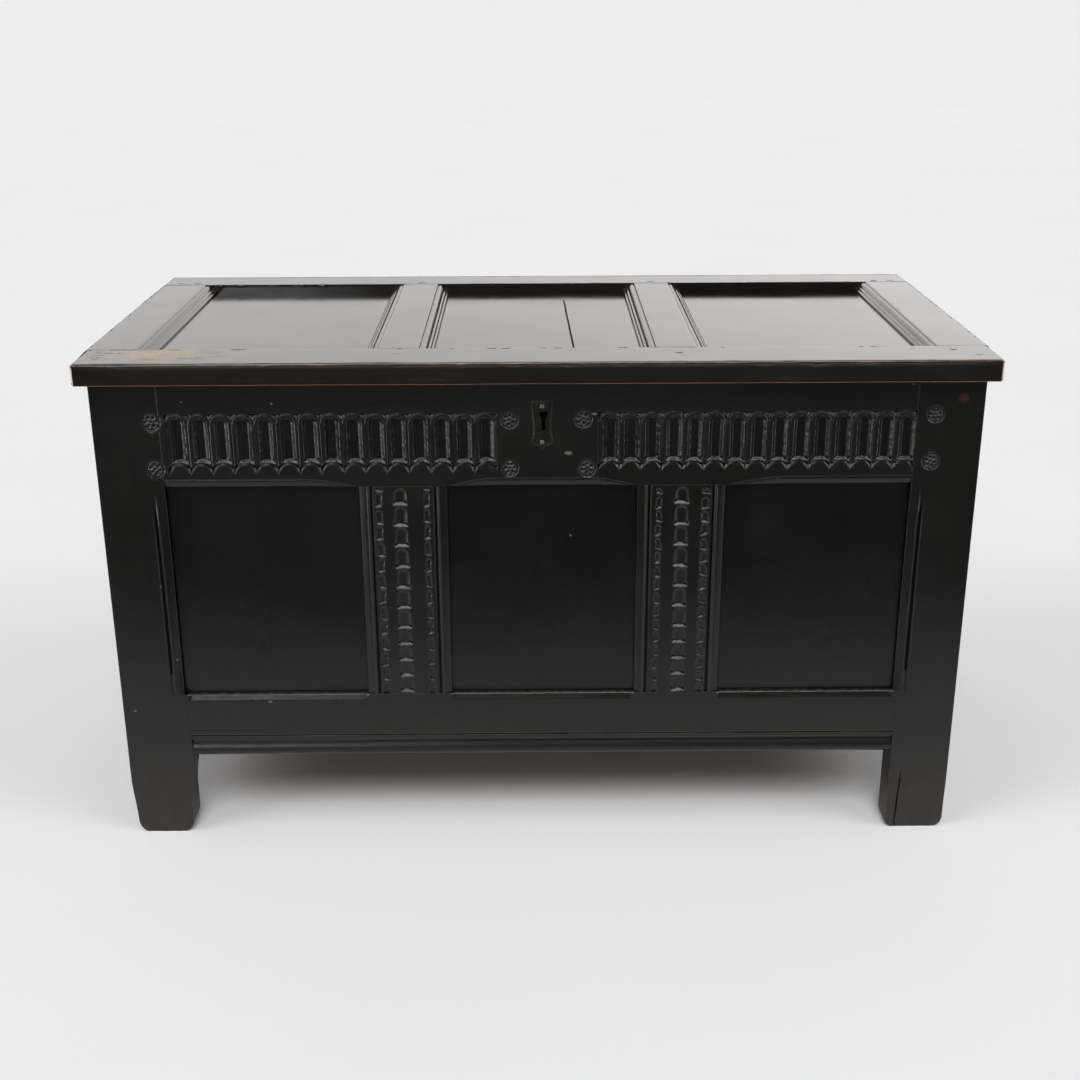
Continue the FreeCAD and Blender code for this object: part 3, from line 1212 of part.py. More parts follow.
def hammered_head():
    """The outline of a hinge pin's end, hammered over to eight faces."""
    half = "sizes.pin_head_half"
    short = f"(sqrt(2) - 1) * {half}"
    corners = [(half, f"-{short}"), (half, short), (short, half), (f"-{short}", half),
               (f"-{half}", short), (f"-{half}", f"-{short}"), (f"-{short}", f"-{half}"), (short, f"-{half}")]
    return [(f"places.hinge_y + ({across})", f"places.hinge_z + ({up})") for across, up in corners]


def make_pin(hand, hinge_x):
    """The hinge pin, peened over at both ends."""
    body = new_body(f"{hand}_hinge_pin")
    half = "(sizes.strap_wide / 2)"
    pad(body, "x", f"{hinge_x} - {half} - sizes.pin_head_long", f"{hinge_x} + {half} + sizes.pin_head_long",
        ("places.hinge_y", "places.hinge_z", "sizes.pin_radius"))
    for near, far in ((f"{hinge_x} - {half} - sizes.pin_head_long", f"{hinge_x} - {half}"),
                      (f"{hinge_x} + {half}", f"{hinge_x} + {half} + sizes.pin_head_long")):
        pad(body, "x", near, far, hammered_head())


for hand, hinge_x in HINGES.items():
    make_strap(hand, hinge_x)
    make_leaf(hand, hinge_x)
    make_pin(hand, hinge_x)
hinge_nails.finish()
strap_nails.finish()


# ---------------------------------------------------------------- lock

def make_escutcheon():
    """The iron plate round the keyhole: a square head, a narrower waist and a round lobe."""
    body = new_body("escutcheon")
    middle = "sizes.lock_centre"
    head, waist = "sizes.escutcheon_half", "sizes.escutcheon_waist"
    waist_top = "places.escutcheon_neck - sizes.escutcheon_slope"
    lobe_radius = f"(({waist} ^ 2 + sizes.escutcheon_lobe ^ 2) / (2 * sizes.escutcheon_lobe))"
    outline = [(f"{middle} - {head}", "places.escutcheon_high"),
               (f"{middle} - {head}", "places.escutcheon_neck"),
               (f"{middle} - {waist}", waist_top),
               (f"{middle} - {waist}", "places.escutcheon_waist_low", "y",
                f"places.escutcheon_low + {lobe_radius}", (0, -1)),
               (f"{middle} + {waist}", "places.escutcheon_waist_low"),
               (f"{middle} + {waist}", waist_top),
               (f"{middle} + {head}", "places.escutcheon_neck"),
               (f"{middle} + {head}", "places.escutcheon_high")]
    FRONT.pad(body, "-sizes.escutcheon_thick", "0", outline)
    FRONT.pocket(body, f"-sizes.escutcheon_thick - {PAST}", f"{PAST}", keyhole("0"))
    drill(body, escutcheon_nail_holes)


def make_lock_plate():
    """The plate over the lock's recess, with the two bridges that the bolt slides in."""
    body = new_body("lock_plate")
    middle = "sizes.lock_centre"
    FRONT.pad(body, "sizes.rail_thick", "sizes.rail_thick + sizes.plate_thick",
              block(f"{middle} - sizes.plate_half_wide", f"{middle} + sizes.plate_half_wide",
                    "places.plate_low", "places.plate_high"))
    wall = "(sizes.bridge_wall + sizes.bolt_play)"
    near = f"places.staple_y - sizes.bolt_thick / 2 - {wall}"
    low = f"places.bolt_low - {wall}"
    high = f"places.bolt_low + sizes.bolt_tall + {wall}"
    for distance in ("sizes.bridge_far", "sizes.bridge_near"):
        pad(body, "y", near, "places.plate_y",
            block(f"{middle} - {distance} - sizes.bridge_wide / 2",
                  f"{middle} - {distance} + sizes.bridge_wide / 2", low, high))
    pocket(body, "x", f"{middle} - sizes.bridge_far - sizes.bridge_wide", middle,
           block("places.staple_y - sizes.bolt_thick / 2 - sizes.bolt_play",
                 "places.staple_y + sizes.bolt_thick / 2 + sizes.bolt_play",
                 "places.bolt_low - sizes.bolt_play",
                 "places.bolt_low + sizes.bolt_tall + sizes.bolt_play"))
    drill(body, plate_nail_holes)


def make_bolt():
    """The sliding bolt, drawn back from the staple, with the notch that the key's bit turns in."""
    body = new_body("lock_bolt")
    tip = "places.bolt_tip"
    tail = f"{tip} - sizes.bolt_long"
    notch = "places.key_x - sizes.bolt_talon_shift"
    half = "sizes.bolt_talon / 2"
    depth = "places.bolt_low + sizes.bolt_tall / 3"
    outline = [(tail, "places.bolt_low"), (f"{notch} - {half}", "places.bolt_low"),
               (f"{notch} - {half}", depth), (f"{notch} + {half}", depth),
               (f"{notch} + {half}", "places.bolt_low"), (tip, "places.bolt_low"),
               (tip, "places.bolt_low + sizes.bolt_tall"), (tail, "places.bolt_low + sizes.bolt_tall")]
    pad(body, "y", "places.staple_y - sizes.bolt_thick / 2", "places.staple_y + sizes.bolt_thick / 2",
        outline)


def make_staple():
    """The staple driven up into the lid, whose eye the bolt passes through."""
    body = new_body("lid_staple")
    half = "sizes.staple_thick / 2"
    reach = "(sizes.staple_eye_wide / 2 + sizes.staple_leg)"
    eye = "(sizes.staple_eye_wide / 2)"
    middle = "places.staple_y"
    root = "sizes.body_height + sizes.staple_root"
    outline = [(f"{middle} - {reach}", root), (f"{middle} - {reach}", "places.staple_low"),
               (f"{middle} + {reach}", "places.staple_low"), (f"{middle} + {reach}", root),
               (f"{middle} + {eye}", root), (f"{middle} + {eye}", "places.eye_low"),
               (f"{middle} - {eye}", "places.eye_low"), (f"{middle} - {eye}", root)]
    pad(body, "x", f"sizes.lock_centre - {half}", f"sizes.lock_centre + {half}", outline)
    # A cross bar closes the eye above the bolt
    bar_low = "places.eye_low + sizes.staple_eye_tall"
    pad(body, "x", f"sizes.lock_centre - {half}", f"sizes.lock_centre + {half}",
        block(f"{middle} - {eye} - {PAST}", f"{middle} + {eye} + {PAST}", bar_low,
              f"{bar_low} + sizes.staple_bar"))


make_escutcheon()
make_lock_plate()
make_bolt()
make_staple()
lock_nails.finish()


# ---------------------------------------------------------------- check and export

doc.recompute()
for item in doc.Objects:
    bad = [state for state in item.State if state in ("Invalid", "Error")]
    if bad:
        raise RuntimeError(f"{item.Label} is {bad[0]}")
for cut in CUTS:
    before = cut.Base.Shape if cut.isDerivedFrom("Part::Cut") else cut.BaseFeature.Shape
    if cut.Shape.Volume > before.Volume - LEAST_CUT:
        raise RuntimeError(f"{cut.Name} removes nothing")
os.makedirs("parts", exist_ok=True)
for node in NODES:
    shape = node.Shape
    if shape.isNull() or not shape.isValid() or not shape.Solids:
        raise RuntimeError(f"{node.Label} has no valid solid")
    shape.exportStep(f"parts/{node.Label}.step")
print(f"{len(NODES)} nodes, {sum(len(node.Shape.Solids) for node in NODES)} solids")
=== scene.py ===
"""Looks of the joined oak coffer: carved front, moulded lid, stained oak, black iron, pale studio."""

from math import cos, pi, radians, sin

import bmesh
import bpy
import numpy as np
from mathutils import Matrix, Vector


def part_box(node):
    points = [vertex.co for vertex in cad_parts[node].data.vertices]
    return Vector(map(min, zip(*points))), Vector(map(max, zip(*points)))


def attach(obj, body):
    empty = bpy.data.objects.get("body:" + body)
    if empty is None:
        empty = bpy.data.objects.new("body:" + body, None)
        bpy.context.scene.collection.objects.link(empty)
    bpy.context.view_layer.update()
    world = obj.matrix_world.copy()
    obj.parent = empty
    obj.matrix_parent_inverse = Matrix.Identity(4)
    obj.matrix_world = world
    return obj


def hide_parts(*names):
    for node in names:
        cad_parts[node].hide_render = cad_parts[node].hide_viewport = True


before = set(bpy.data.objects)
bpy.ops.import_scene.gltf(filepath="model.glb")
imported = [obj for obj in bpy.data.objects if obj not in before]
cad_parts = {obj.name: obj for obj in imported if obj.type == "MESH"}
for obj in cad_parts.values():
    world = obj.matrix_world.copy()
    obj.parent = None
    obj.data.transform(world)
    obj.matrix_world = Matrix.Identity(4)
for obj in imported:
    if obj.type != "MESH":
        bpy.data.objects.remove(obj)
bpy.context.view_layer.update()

# The pieces are laid out in millimetres, and turned into metres as their meshes are made
MM = 0.001


def corners(node):
    """The lowest and the highest corner of a CAD node, in millimetres."""
    low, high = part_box(node)
    return np.array(low) / MM, np.array(high) / MM


# -------- places taken from the frame

(stile_out, FACE_Y, _), (stile_in, stile_back, BODY_TOP) = corners("front_left_stile")
STILE_DEPTH = stile_back - FACE_Y
SIDE_X = -stile_out
STILE_X = -stile_in
HEAD_Z = corners("front_top_rail")[0][2]
(_, _, LEG_TOP), (_, _, SILL_Z) = corners("front_bottom_rail")
# The front's muntins and bottom rail are this thick
RAIL_DEPTH = 30
# The left and the right edge of each muntin, and of the bays beside them
MUNTINS = {node: (corners(node)[0][0], corners(node)[1][0])
           for node in ("front_left_muntin", "front_right_muntin")}
left_muntin, right_muntin = MUNTINS.values()
BAYS = {"left": (-STILE_X, left_muntin[0]), "middle": (left_muntin[1], right_muntin[0]),
        "right": (right_muntin[1], STILE_X)}

(_, LID_FRONT_Y, LID_LOW), (LID_X, LID_FRONT_JOINT, LID_TOP) = corners("lid_front_rail")
(_, LID_BACK_JOINT, _), (_, LID_BACK_Y, _) = corners("lid_back_rail")


def add_object(name, data):
    """A new object with that data, in the scene."""
    made = bpy.data.objects.new(name, data)
    bpy.context.scene.collection.objects.link(made)
    return made


# -------- camera

CAMERA_PLACE = Vector((-8.87, -2161.7, 1156.2)) * MM
CAMERA_PAN = radians(0.3267)
CAMERA_TILT = radians(20.492)
CAMERA_ROLL = radians(0.2244)
LENS = 49.585
SENSOR = 36
PICTURE = 1080
AXIS_RISE = 1.5     # the lens axis meets the picture this many pixels above its middle


def add_camera():
    forward = Vector((sin(CAMERA_PAN) * cos(CAMERA_TILT), cos(CAMERA_PAN) * cos(CAMERA_TILT),
                      -sin(CAMERA_TILT)))
    right = Vector((cos(CAMERA_PAN), -sin(CAMERA_PAN), 0))
    down = forward.cross(right)
    rolled_right = right * cos(CAMERA_ROLL) + down * sin(CAMERA_ROLL)
    rolled_down = down * cos(CAMERA_ROLL) - right * sin(CAMERA_ROLL)
    data = bpy.data.cameras.new("camera")
    data.lens = LENS
    data.sensor_width = SENSOR
    data.shift_y = -AXIS_RISE / PICTURE
    camera = add_object("camera", data)
    turn = Matrix((rolled_right, -rolled_down, -forward)).transposed().to_4x4()
    camera.matrix_world = Matrix.Translation(CAMERA_PLACE) @ turn
    bpy.context.scene.camera = camera


# -------- node graphs

class Graph:
    """The node tree of a material or of the world, built up call by call."""

    def __init__(self, owner, shader="Principled BSDF"):
        owner.use_nodes = True
        self.owner = owner
        self.tree = owner.node_tree
        self.shader = self.tree.nodes[shader]

    def add(self, kind, inputs=None, **settings):
        """A node, with its settings, and a value or another node's output for each input."""
        node = self.tree.nodes.new("ShaderNode" + kind)
        for key, value in settings.items():
            setattr(node, key, value)
        for key, value in (inputs or {}).items():
            self.feed(node.inputs[key], value)
        return node

    def feed(self, socket, value):
        """Links an output, or sets a value. A colour is opaque."""
        if isinstance(value, bpy.types.NodeSocket):
            self.tree.links.new(value, socket)
        else:
            socket.default_value = (*value, 1.0) if socket.type == "RGBA" else value

    def place(self, scale=(1, 1, 1), move=(0, 0, 0)):
        """The object's own coordinates, scaled."""
        coordinates = self.add("TexCoord").outputs["Object"]
        return self.add("Mapping", {"Vector": coordinates, "Scale": scale, "Location": move}).outputs[0]

    def coordinate(self, axis):
        return self.add("SeparateXYZ", {"Vector": self.place()}).outputs[axis]

    def reach(self, middle, half):
        """The distance from an oval's middle, 1 at its rim. It is endless where its half size is 0."""
        scale = [1 / (size * MM) if size else 0 for size in half]
        move = [-place / size if size else 0 for place, size in zip(middle, half)]
        return self.add("VectorMath", {0: self.place(scale, move)}, operation="LENGTH").outputs["Value"]

    def noise(self, scale=1.0, detail=3.0, roughness=0.5, distortion=0.0, stretch=(1, 1, 1)):
        return self.add("TexNoise", {"Vector": self.place(stretch), "Scale": scale, "Detail": detail,
                                     "Roughness": roughness, "Distortion": distortion}).outputs[0]

    def fade(self, value, low, high, to_low=0.0, to_high=1.0):
        """The value's run from low to high, spread over a new range and held at its ends."""
        return self.add("MapRange", {"Value": value, "From Min": low, "From Max": high,
                                     "To Min": to_low, "To Max": to_high}).outputs[0]

    def math(self, operation, first, second):
        return self.add("Math", {0: first, 1: second}, operation=operation).outputs[0]

    def times(self, first, second):
        return self.math("MULTIPLY", first, second)

    def mix(self, factor, first, second):
        """A blend of two colours."""
        return self.add("Mix", {0: factor, 6: first, 7: second}, data_type="RGBA").outputs[2]

    def attribute(self, name):
        return self.add("Attribute", attribute_name=name).outputs["Fac"]

    def bump(self, height, distance, strength=1.0, normal=None):
        inputs = {"Height": height, "Distance": distance, "Strength": strength}
        if normal is not None:
            inputs["Normal"] = normal
        return self.add("Bump", inputs).outputs[0]

    def finish(self, **inputs):
        """Feeds the shader, whose sockets are named with underscores."""
        for key, value in inputs.items():
            self.feed(self.shader.inputs[key.replace("_", " ")], value)
        return self.owner


def material_graph(name):
    return Graph(bpy.data.materials.new(name))


# -------- materials

# Along and across the grain, as waves per metre
FIGURE = (4.0, 140.0)
PORES = (70.0, 1300.0)
# The pores' dust, and the painted shade in hollows, have this share of the dark colour
PORE_AND_SHADE_SHARE = 0.3
SCUFF_TOP = 0.16
SCUFF_COLOR = (0.034, 0.028, 0.024)
# Pale flecks and chips on the front: place, and half width and height
FLECKS = [(-378.5, 209, 3.0, 1.6), (-504, 274, 1.4, 1.4), (-570, 196, 2.0, 1.5), (-516.5, 384, 1.3, 1.3),
          (-466, 645, 1.6, 1.2), (-348.5, 642, 1.6, 1.2), (490, 664, 1.6, 1.2), (74, 626, 3.4, 1.6),
          (40, 572.6, 5.0, 2.6), (43.5, 452.5, 1.4, 1.4)]
FLECK_COLOR = (0.10, 0.10, 0.088)
# A peg whose head has lost its stain, at the top of the right stile
PLUG = (557.5, 645.0, 7.0, 6.5)
PLUG_COLOR = (0.036, 0.013, 0.010)


def grain_scale(grain, per_metre):
    along, across = per_metre
    return [along if axis == grain else across for axis in "xyz"]


def oak(name, grain, dark, light, worn, gloss=(0.34, 0.5), specular=0.5, unevenness=0.4, relief=0.55,
        scuffed_feet=False, patch=None, flecks=False):
    """Stained oak. gloss is its least and greatest roughness. The wear values of a piece show its bare
    arrises; its cavity shade values are painted shade in its hollows and recesses, which also dims their
    gloss."""
    graph = material_graph(name)
    figure = graph.noise(detail=5.0, roughness=0.6, distortion=0.4, stretch=grain_scale(grain, FIGURE))
    pores = graph.noise(detail=2.0, stretch=grain_scale(grain, PORES))
    blotch = graph.noise(scale=7.0, detail=4.0, roughness=0.6)
    smear = graph.noise(scale=38.0, detail=4.0, roughness=0.65)
    cavity_shade = graph.attribute("cavity_shade")
    pore_and_shade = [PORE_AND_SHADE_SHARE * part for part in dark]

    shade = graph.math("ADD", graph.times(figure, 0.65), graph.times(blotch, 0.45))
    color = graph.mix(graph.fade(shade, 0.38, 0.72), dark, light)
    pore_mask = graph.fade(pores, 0.33, 0.45, 1.0, 0.0)
    color = graph.mix(graph.times(pore_mask, 0.6), color, pore_and_shade)
    broken = graph.math("ADD", graph.attribute("wear"), graph.times(smear, 0.9))
    color = graph.mix(graph.fade(broken, 0.75, 1.25, 0.0, 0.85), color, worn)
    # Painted shade: hollows and recessed faces darkened towards the pores' dark colour
    color = graph.mix(graph.times(graph.fade(cavity_shade, 0.12, 0.6), 0.75), color, pore_and_shade)
    roughness = graph.fade(blotch, 0.3, 0.7, *gloss)

    if scuffed_feet:
        low = graph.fade(graph.coordinate("Z"), 0.0, SCUFF_TOP, 1.0, 0.0)
        scuff = graph.times(low, graph.fade(smear, 0.25, 0.75, 0.35, 1.0))
        color = graph.mix(graph.times(scuff, 0.8), color, SCUFF_COLOR)
    if patch:
        color, roughness = patch(graph, color, roughness, smear)
    marks = [(fleck, FLECK_COLOR) for fleck in FLECKS] + [(PLUG, PLUG_COLOR)] if flecks else []
    for (x, z, half, tall), paint in marks:
        inside = graph.fade(graph.reach((x, 0, z), (half, 0, tall)), 0.6, 1.3, 1.0, 0.0)
        color = graph.mix(inside, color, paint)

    fine = graph.bump(pore_mask, 0.00012, relief)
    coarse = graph.bump(figure, 0.0004, relief, fine)
    # The painted shade in the hollows also dims their gloss
    return graph.finish(Base_Color=color, Roughness=roughness,
                        Normal=graph.bump(smear, 0.0005, unevenness, coarse),
                        Specular_IOR_Level=graph.fade(cavity_shade, 0.95, 1.3, specular, 0.12 * specular))


# Worn spot near the lid's left front corner, where the stain has gone: middle and half sizes, in mm
BARE_SPOT = (-500.0, -246.0)
BARE_SPOT_HALF = (62.0, 26.0)
BARE_STREAKS = (14, 190, 0)
# Its brown rim and pale middle: the reach where it ends, its strength, the streaks that break it
# up, its colour and its roughness
BARE_LAYERS = [((1.9, 2.4), 0.8, (0.46, 0.54), (0.12, 0.065, 0.035), 0.6),
               ((1.3, 2.0), 1.0, (0.38, 0.52), (0.42, 0.31, 0.20), 0.7)]


def bare_spot(graph, color, roughness, smear):
    """A pale rubbed spot on the lid."""
    reach = graph.reach((*BARE_SPOT, 0), (*BARE_SPOT_HALF, 0))
    ragged = graph.math("ADD", reach, graph.times(smear, 1.4))
    streaks = graph.noise(stretch=BARE_STREAKS)
    on_top = graph.fade(graph.coordinate("Z"), (LID_TOP - 3) * MM, (LID_TOP - 1) * MM)
    for ends, strength, breaks, paint, dull in BARE_LAYERS:
        layer = graph.times(graph.fade(ragged, *ends, strength, 0.0), graph.fade(streaks, *breaks))
        layer = graph.times(layer, on_top)
        color = graph.mix(layer, color, paint)
        roughness = graph.math("MAXIMUM", roughness, graph.times(layer, dull))
    return color, roughness


def iron(name, dark, bloomed):
    """Wrought iron, blackened and waxed, with a brown bloom."""
    graph = material_graph(name)
    hammered = graph.noise(scale=90.0, detail=3.0)
    bloom = graph.noise(scale=260.0, detail=6.0, roughness=0.7)
    return graph.finish(Base_Color=graph.mix(graph.fade(bloom, 0.45, 0.75, 0.0, 0.6), dark, bloomed),
                        Roughness=graph.fade(bloom, 0.3, 0.7, 0.30, 0.5),
                        Normal=graph.bump(hammered, 0.0016, 0.7, graph.bump(bloom, 0.0003, 0.5)),
                        Metallic=0.6, Specular_IOR_Level=0.6)


FRONT_WORN = (0.015, 0.0135, 0.0115)
SILL_WORN = (0.055, 0.045, 0.022)
FRONT = {"dark": (0.0032, 0.0031, 0.0027), "light": (0.0062, 0.0057, 0.0048), "gloss": (0.28, 0.36),
         "specular": 0.42, "unevenness": 0.12, "relief": 0.35, "flecks": True}
LID = {"dark": (0.0095, 0.0088, 0.0078), "light": (0.0160, 0.0142, 0.0122), "worn": (0.20, 0.085, 0.04),
       "gloss": (0.12, 0.17), "unevenness": 0.012, "relief": 0.05}

front_oak = {axis: oak(f"front_oak_{axis}", axis, worn=FRONT_WORN, scuffed_feet=axis == "z", **FRONT)
             for axis in "xz"}
sill_oak = oak("sill_oak", "x", worn=SILL_WORN, **FRONT)
lid_oak = {axis: oak(f"lid_oak_{axis}", axis, patch=bare_spot if axis == "x" else None, **LID)
           for axis in "xy"}
side_oak = {axis: oak(f"side_oak_{axis}", axis, (0.009, 0.0075, 0.0065), (0.022, 0.017, 0.013), FRONT_WORN,
                      specular=0.4) for axis in "xyz"}
board_oak = oak("board_oak", "y", (0.075, 0.046, 0.026), (0.15, 0.098, 0.058), (0.2, 0.14, 0.09),
                gloss=(0.6, 0.8))
peg_oak = oak("peg_oak", "y", (0.006, 0.0050, 0.0042), (0.012, 0.0095, 0.0075), FRONT_WORN)
black_iron = iron("black_iron", (0.016, 0.016, 0.015), (0.034, 0.026, 0.019))
plate_iron = iron("plate_iron", (0.010, 0.010, 0.009), (0.020, 0.018, 0.014))
worn_iron = iron("worn_iron", (0.016, 0.016, 0.014), (0.046, 0.042, 0.033))
nail_iron = iron("nail_iron", (0.10, 0.10, 0.085), (0.16, 0.15, 0.12))


# -------- lines, waves and outlines

def lines(start, *runs):
    """Positions of grid lines. Each run is (end, spacing), and is divided evenly."""
    places = [start]
    for end, spacing in runs:
        count = max(1, round((end - places[-1]) / spacing))
        places.extend(np.linspace(places[-1], end, count + 1)[1:])
    return np.array(places, float)


WAVE_COUNT = 7


def waves(first, second, size, seed):
    """A smooth random field from -1 to 1, with waves of about that size."""
    draw = np.random.RandomState(seed)
    total = 0
    for _ in range(WAVE_COUNT):
        angle = draw.uniform(0, pi)
        step = 2 * pi / (size * draw.uniform(0.6, 1.6))
        phase = draw.uniform(0, 2 * pi)
        total = total + np.sin(step * (first * cos(angle) + second * sin(angle)) + phase)
    return total / WAVE_COUNT


def unit(value):
    """The value, held between 0 and 1."""
    return np.clip(value, 0, 1)


def vee(distance, half, deep):
    """Depth of a V groove at a distance from its line."""
    return deep * np.clip(1 - np.abs(distance) / half, 0, None)


def smooth(value, low, high):
    """0 at low and 1 at high, with no kink."""
    share = unit((value - low) / (high - low))
    return share * share * (3 - 2 * share)


def curve(begin, control, end, shares):
    """Points on a curve from begin to end that bends towards control."""
    return [(1 - share) ** 2 * begin + 2 * share * (1 - share) * control + share ** 2 * end
            for share in shares]


def eased(points, radius, steps=3):
    """An outline with its sharp corners rounded off by about the radius, or by one for each corner."""
    points = [np.array(point, float) for point in points]
    result = []
    for index, (corner, limit) in enumerate(zip(points, np.broadcast_to(radius, len(points)))):
        before = points[index - 1] - corner
        after = points[(index + 1) % len(points)] - corner
        reach_before, reach_after = np.linalg.norm(before), np.linalg.norm(after)
        turn = np.dot(before, after) / (reach_before * reach_after)
        cut = min(limit, 0.45 * reach_before, 0.45 * reach_after)
        if turn < -0.9 or cut < 0.05:
            result.append(corner)
            continue
        begin = corner + before * cut / reach_before
        end = corner + after * cut / reach_after
        result += curve(begin, corner, end, np.linspace(0, 1, steps + 1))
    return result


def divided(points, spacing):
    """A closed outline with its long runs divided."""
    result = []
    for index, point in enumerate(points):
        following = points[(index + 1) % len(points)]
        count = max(1, round(np.linalg.norm(following - point) / spacing))
        result.extend(point + (following - point) * step / count for step in range(count))
    return np.array(result)


# -------- meshes

SMOOTH_ANGLE = radians(42)
# Relief is compared with its depth this many grid lines away
RELIEF_REACH = 2
# Where a grid line lies inside an eased edge, as shares of the easing's radius
EASE_SHARES = (0.0, 0.12, 0.35, 0.65, 1.0)
# A wall starts this far below an eased edge, so that its shading stays flat
WALL_HOLD = 0.8
# A bar's outline and length are divided about every so many millimetres. Its surface wavers over
# longer waves, and its nicks are the tops of shorter ones
BAR_SPACING = 5.0
WAVER_SIZE = 130
NICK_SIZE = 26
NICK_LEVEL = 0.22


def make_piece(name, form, material, replaced, body="carcass"):
    """A mesh piece in the frame. Its form is its points in millimetres, its faces, and its wear and
    its painted cavity shade per point."""
    points, faces, values = form
    mesh = bpy.data.meshes.new(name)
    mesh.from_pydata((np.asarray(points) * MM).tolist(), [], faces)
    for key, amounts in values.items():
        attribute = mesh.attributes.new(key, "FLOAT", "POINT")
        attribute.data.foreach_set("value", np.asarray(amounts, np.float32))
    mesh.materials.append(material)
    mesh.shade_smooth()
    mesh.set_sharp_from_angle(angle=SMOOTH_ANGLE)
    piece = add_object(name, mesh)
    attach(piece, body)
    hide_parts(replaced)
    return piece


def relief_values(depth):
    """Wear where the relief stands proud of what is near it, and painted shade where it lies lower than
    what is near it or deep.
    """
    reach = RELIEF_REACH
    padded = np.pad(depth, reach, mode="edge")
    total = np.zeros_like(depth)
    steps = (0, reach, 2 * reach)
    offsets = [(a, b) for a in steps for b in steps if (a, b) != (reach, reach)]
    for a, b in offsets:
        total += padded[a:a + depth.shape[0], b:b + depth.shape[1]]
    rise = total / len(offsets) - depth
    # The second value is painted shade, darker where the relief lies lower than its neighbours and where
    # it lies deep
    return unit(rise / 0.9), np.clip(-rise / 1.2, 0, 0.5) + np.clip(depth / 8, 0, 0.5)


def with_edges(places, ease):
    """Grid lines with those of the eased edges put in at both ends."""
    low, high = places[0], places[-1]
    inner = [place for place in places if low + 1.2 * ease < place < high - 1.2 * ease]
    near = [low + ease * share for share in EASE_SHARES]
    far = [high - ease * share for share in reversed(EASE_SHARES)]
    return np.array(near + inner + far)


def edge_drop(distance, ease):
    """How far an eased edge lies below the face, at a distance from the border."""
    inside = np.clip(ease - distance, 0, ease)
    return ease - np.sqrt(ease ** 2 - inside ** 2)


def on_front(across, up, depth):
    """From a place and a depth on the chest's front to the frame."""
    return np.stack([across, FACE_Y + depth, up], axis=-1)


def on_lid(across, up, depth):
    """From a place and a depth on the lid to the frame."""
    return np.stack([across, up, LID_TOP - depth], axis=-1)


def slab(face, across, up, relief, rings, ease, shape=None, painted_shade=None, side_painted_shade=None):
    """The form of a board whose face has a relief, as its depth at each place. rings are the (inset,
    depth) of its outline behind the face, the last being its other side. shape moves places off the
    rectangle. painted_shade paints shade onto the face, and side_painted_shade onto the sides."""
    across, up = with_edges(across, ease), with_edges(up, ease)
    grid_across, grid_up = np.meshgrid(across, up, indexing="ij")
    depth = relief(grid_across, grid_up)
    wear, cavity_shade = relief_values(depth)
    # Painted shade from the caller, added to the face's
    if painted_shade:
        cavity_shade = cavity_shade + painted_shade(grid_across, grid_up)
    to_border = np.minimum.reduce([grid_across - across[0], across[-1] - grid_across,
                                   grid_up - up[0], up[-1] - grid_up])
    depth = depth + edge_drop(to_border, ease)
    wear = np.maximum(wear, 0.8 * unit(1 - to_border / (1.6 * ease)))
    if shape:
        grid_across, grid_up = shape(grid_across, grid_up)
    points = [face(grid_across, grid_up, depth).reshape(-1, 3)]
    index = np.arange(depth.size).reshape(depth.shape)
    cells = np.stack([index[:-1, :-1], index[1:, :-1], index[1:, 1:], index[:-1, 1:]], axis=-1)
    faces = cells.reshape(-1, 4).tolist()

    # Along the low side, up the far end, back along the high side and down the near end
    ring = np.concatenate([index[:-1, 0], index[-1, :-1], index[:0:-1, -1], index[0, :0:-1]])
    edge_across, edge_up, edge_depth = (grid.reshape(-1)[ring] for grid in (grid_across, grid_up, depth))
    middle = np.array((across[0] + across[-1], up[0] + up[-1])) / 2
    half = np.array((across[-1] - across[0], up[-1] - up[0])) / 2
    total = depth.size
    for inset, level in [(0, edge_depth + WALL_HOLD), *rings]:
        following = total + np.arange(len(ring))
        points.append(face(middle[0] + (edge_across - middle[0]) * (1 - inset / half[0]),
                           middle[1] + (edge_up - middle[1]) * (1 - inset / half[1]),
                           np.zeros(len(ring)) + level))
        walls = [ring, following, np.roll(following, -1), np.roll(ring, -1)]
        faces.extend(np.stack(walls, axis=-1).tolist())
        ring = following
        total += len(ring)

    # The other side is closed by strips from its low side to its high side
    sides = np.split(ring, np.cumsum([len(across), len(up) - 2, len(across)]))
    low_side, far_end, high_side, near_end = [side.tolist() for side in sides]
    for side in (far_end, high_side, near_end):
        side.reverse()
    last = len(across) - 2
    for step in range(last + 1):
        faces.append([low_side[step], *(near_end if step == 0 else []), high_side[step],
                      high_side[step + 1], *(far_end if step == last else []), low_side[step + 1]])
    unworn = np.zeros(total - depth.size)
    # Painted shade on the sides, or none
    behind = np.tile(side_painted_shade(edge_across, edge_up), 1 + len(rings)) if side_painted_shade else unworn
    values = {"wear": np.concatenate([wear.reshape(-1), unworn]),
              "cavity_shade": np.concatenate([cavity_shade.reshape(-1), behind])}
    return np.concatenate(points), faces, values


def cross(first, second):
    return first[:, 0] * second[:, 1] - first[:, 1] * second[:, 0]


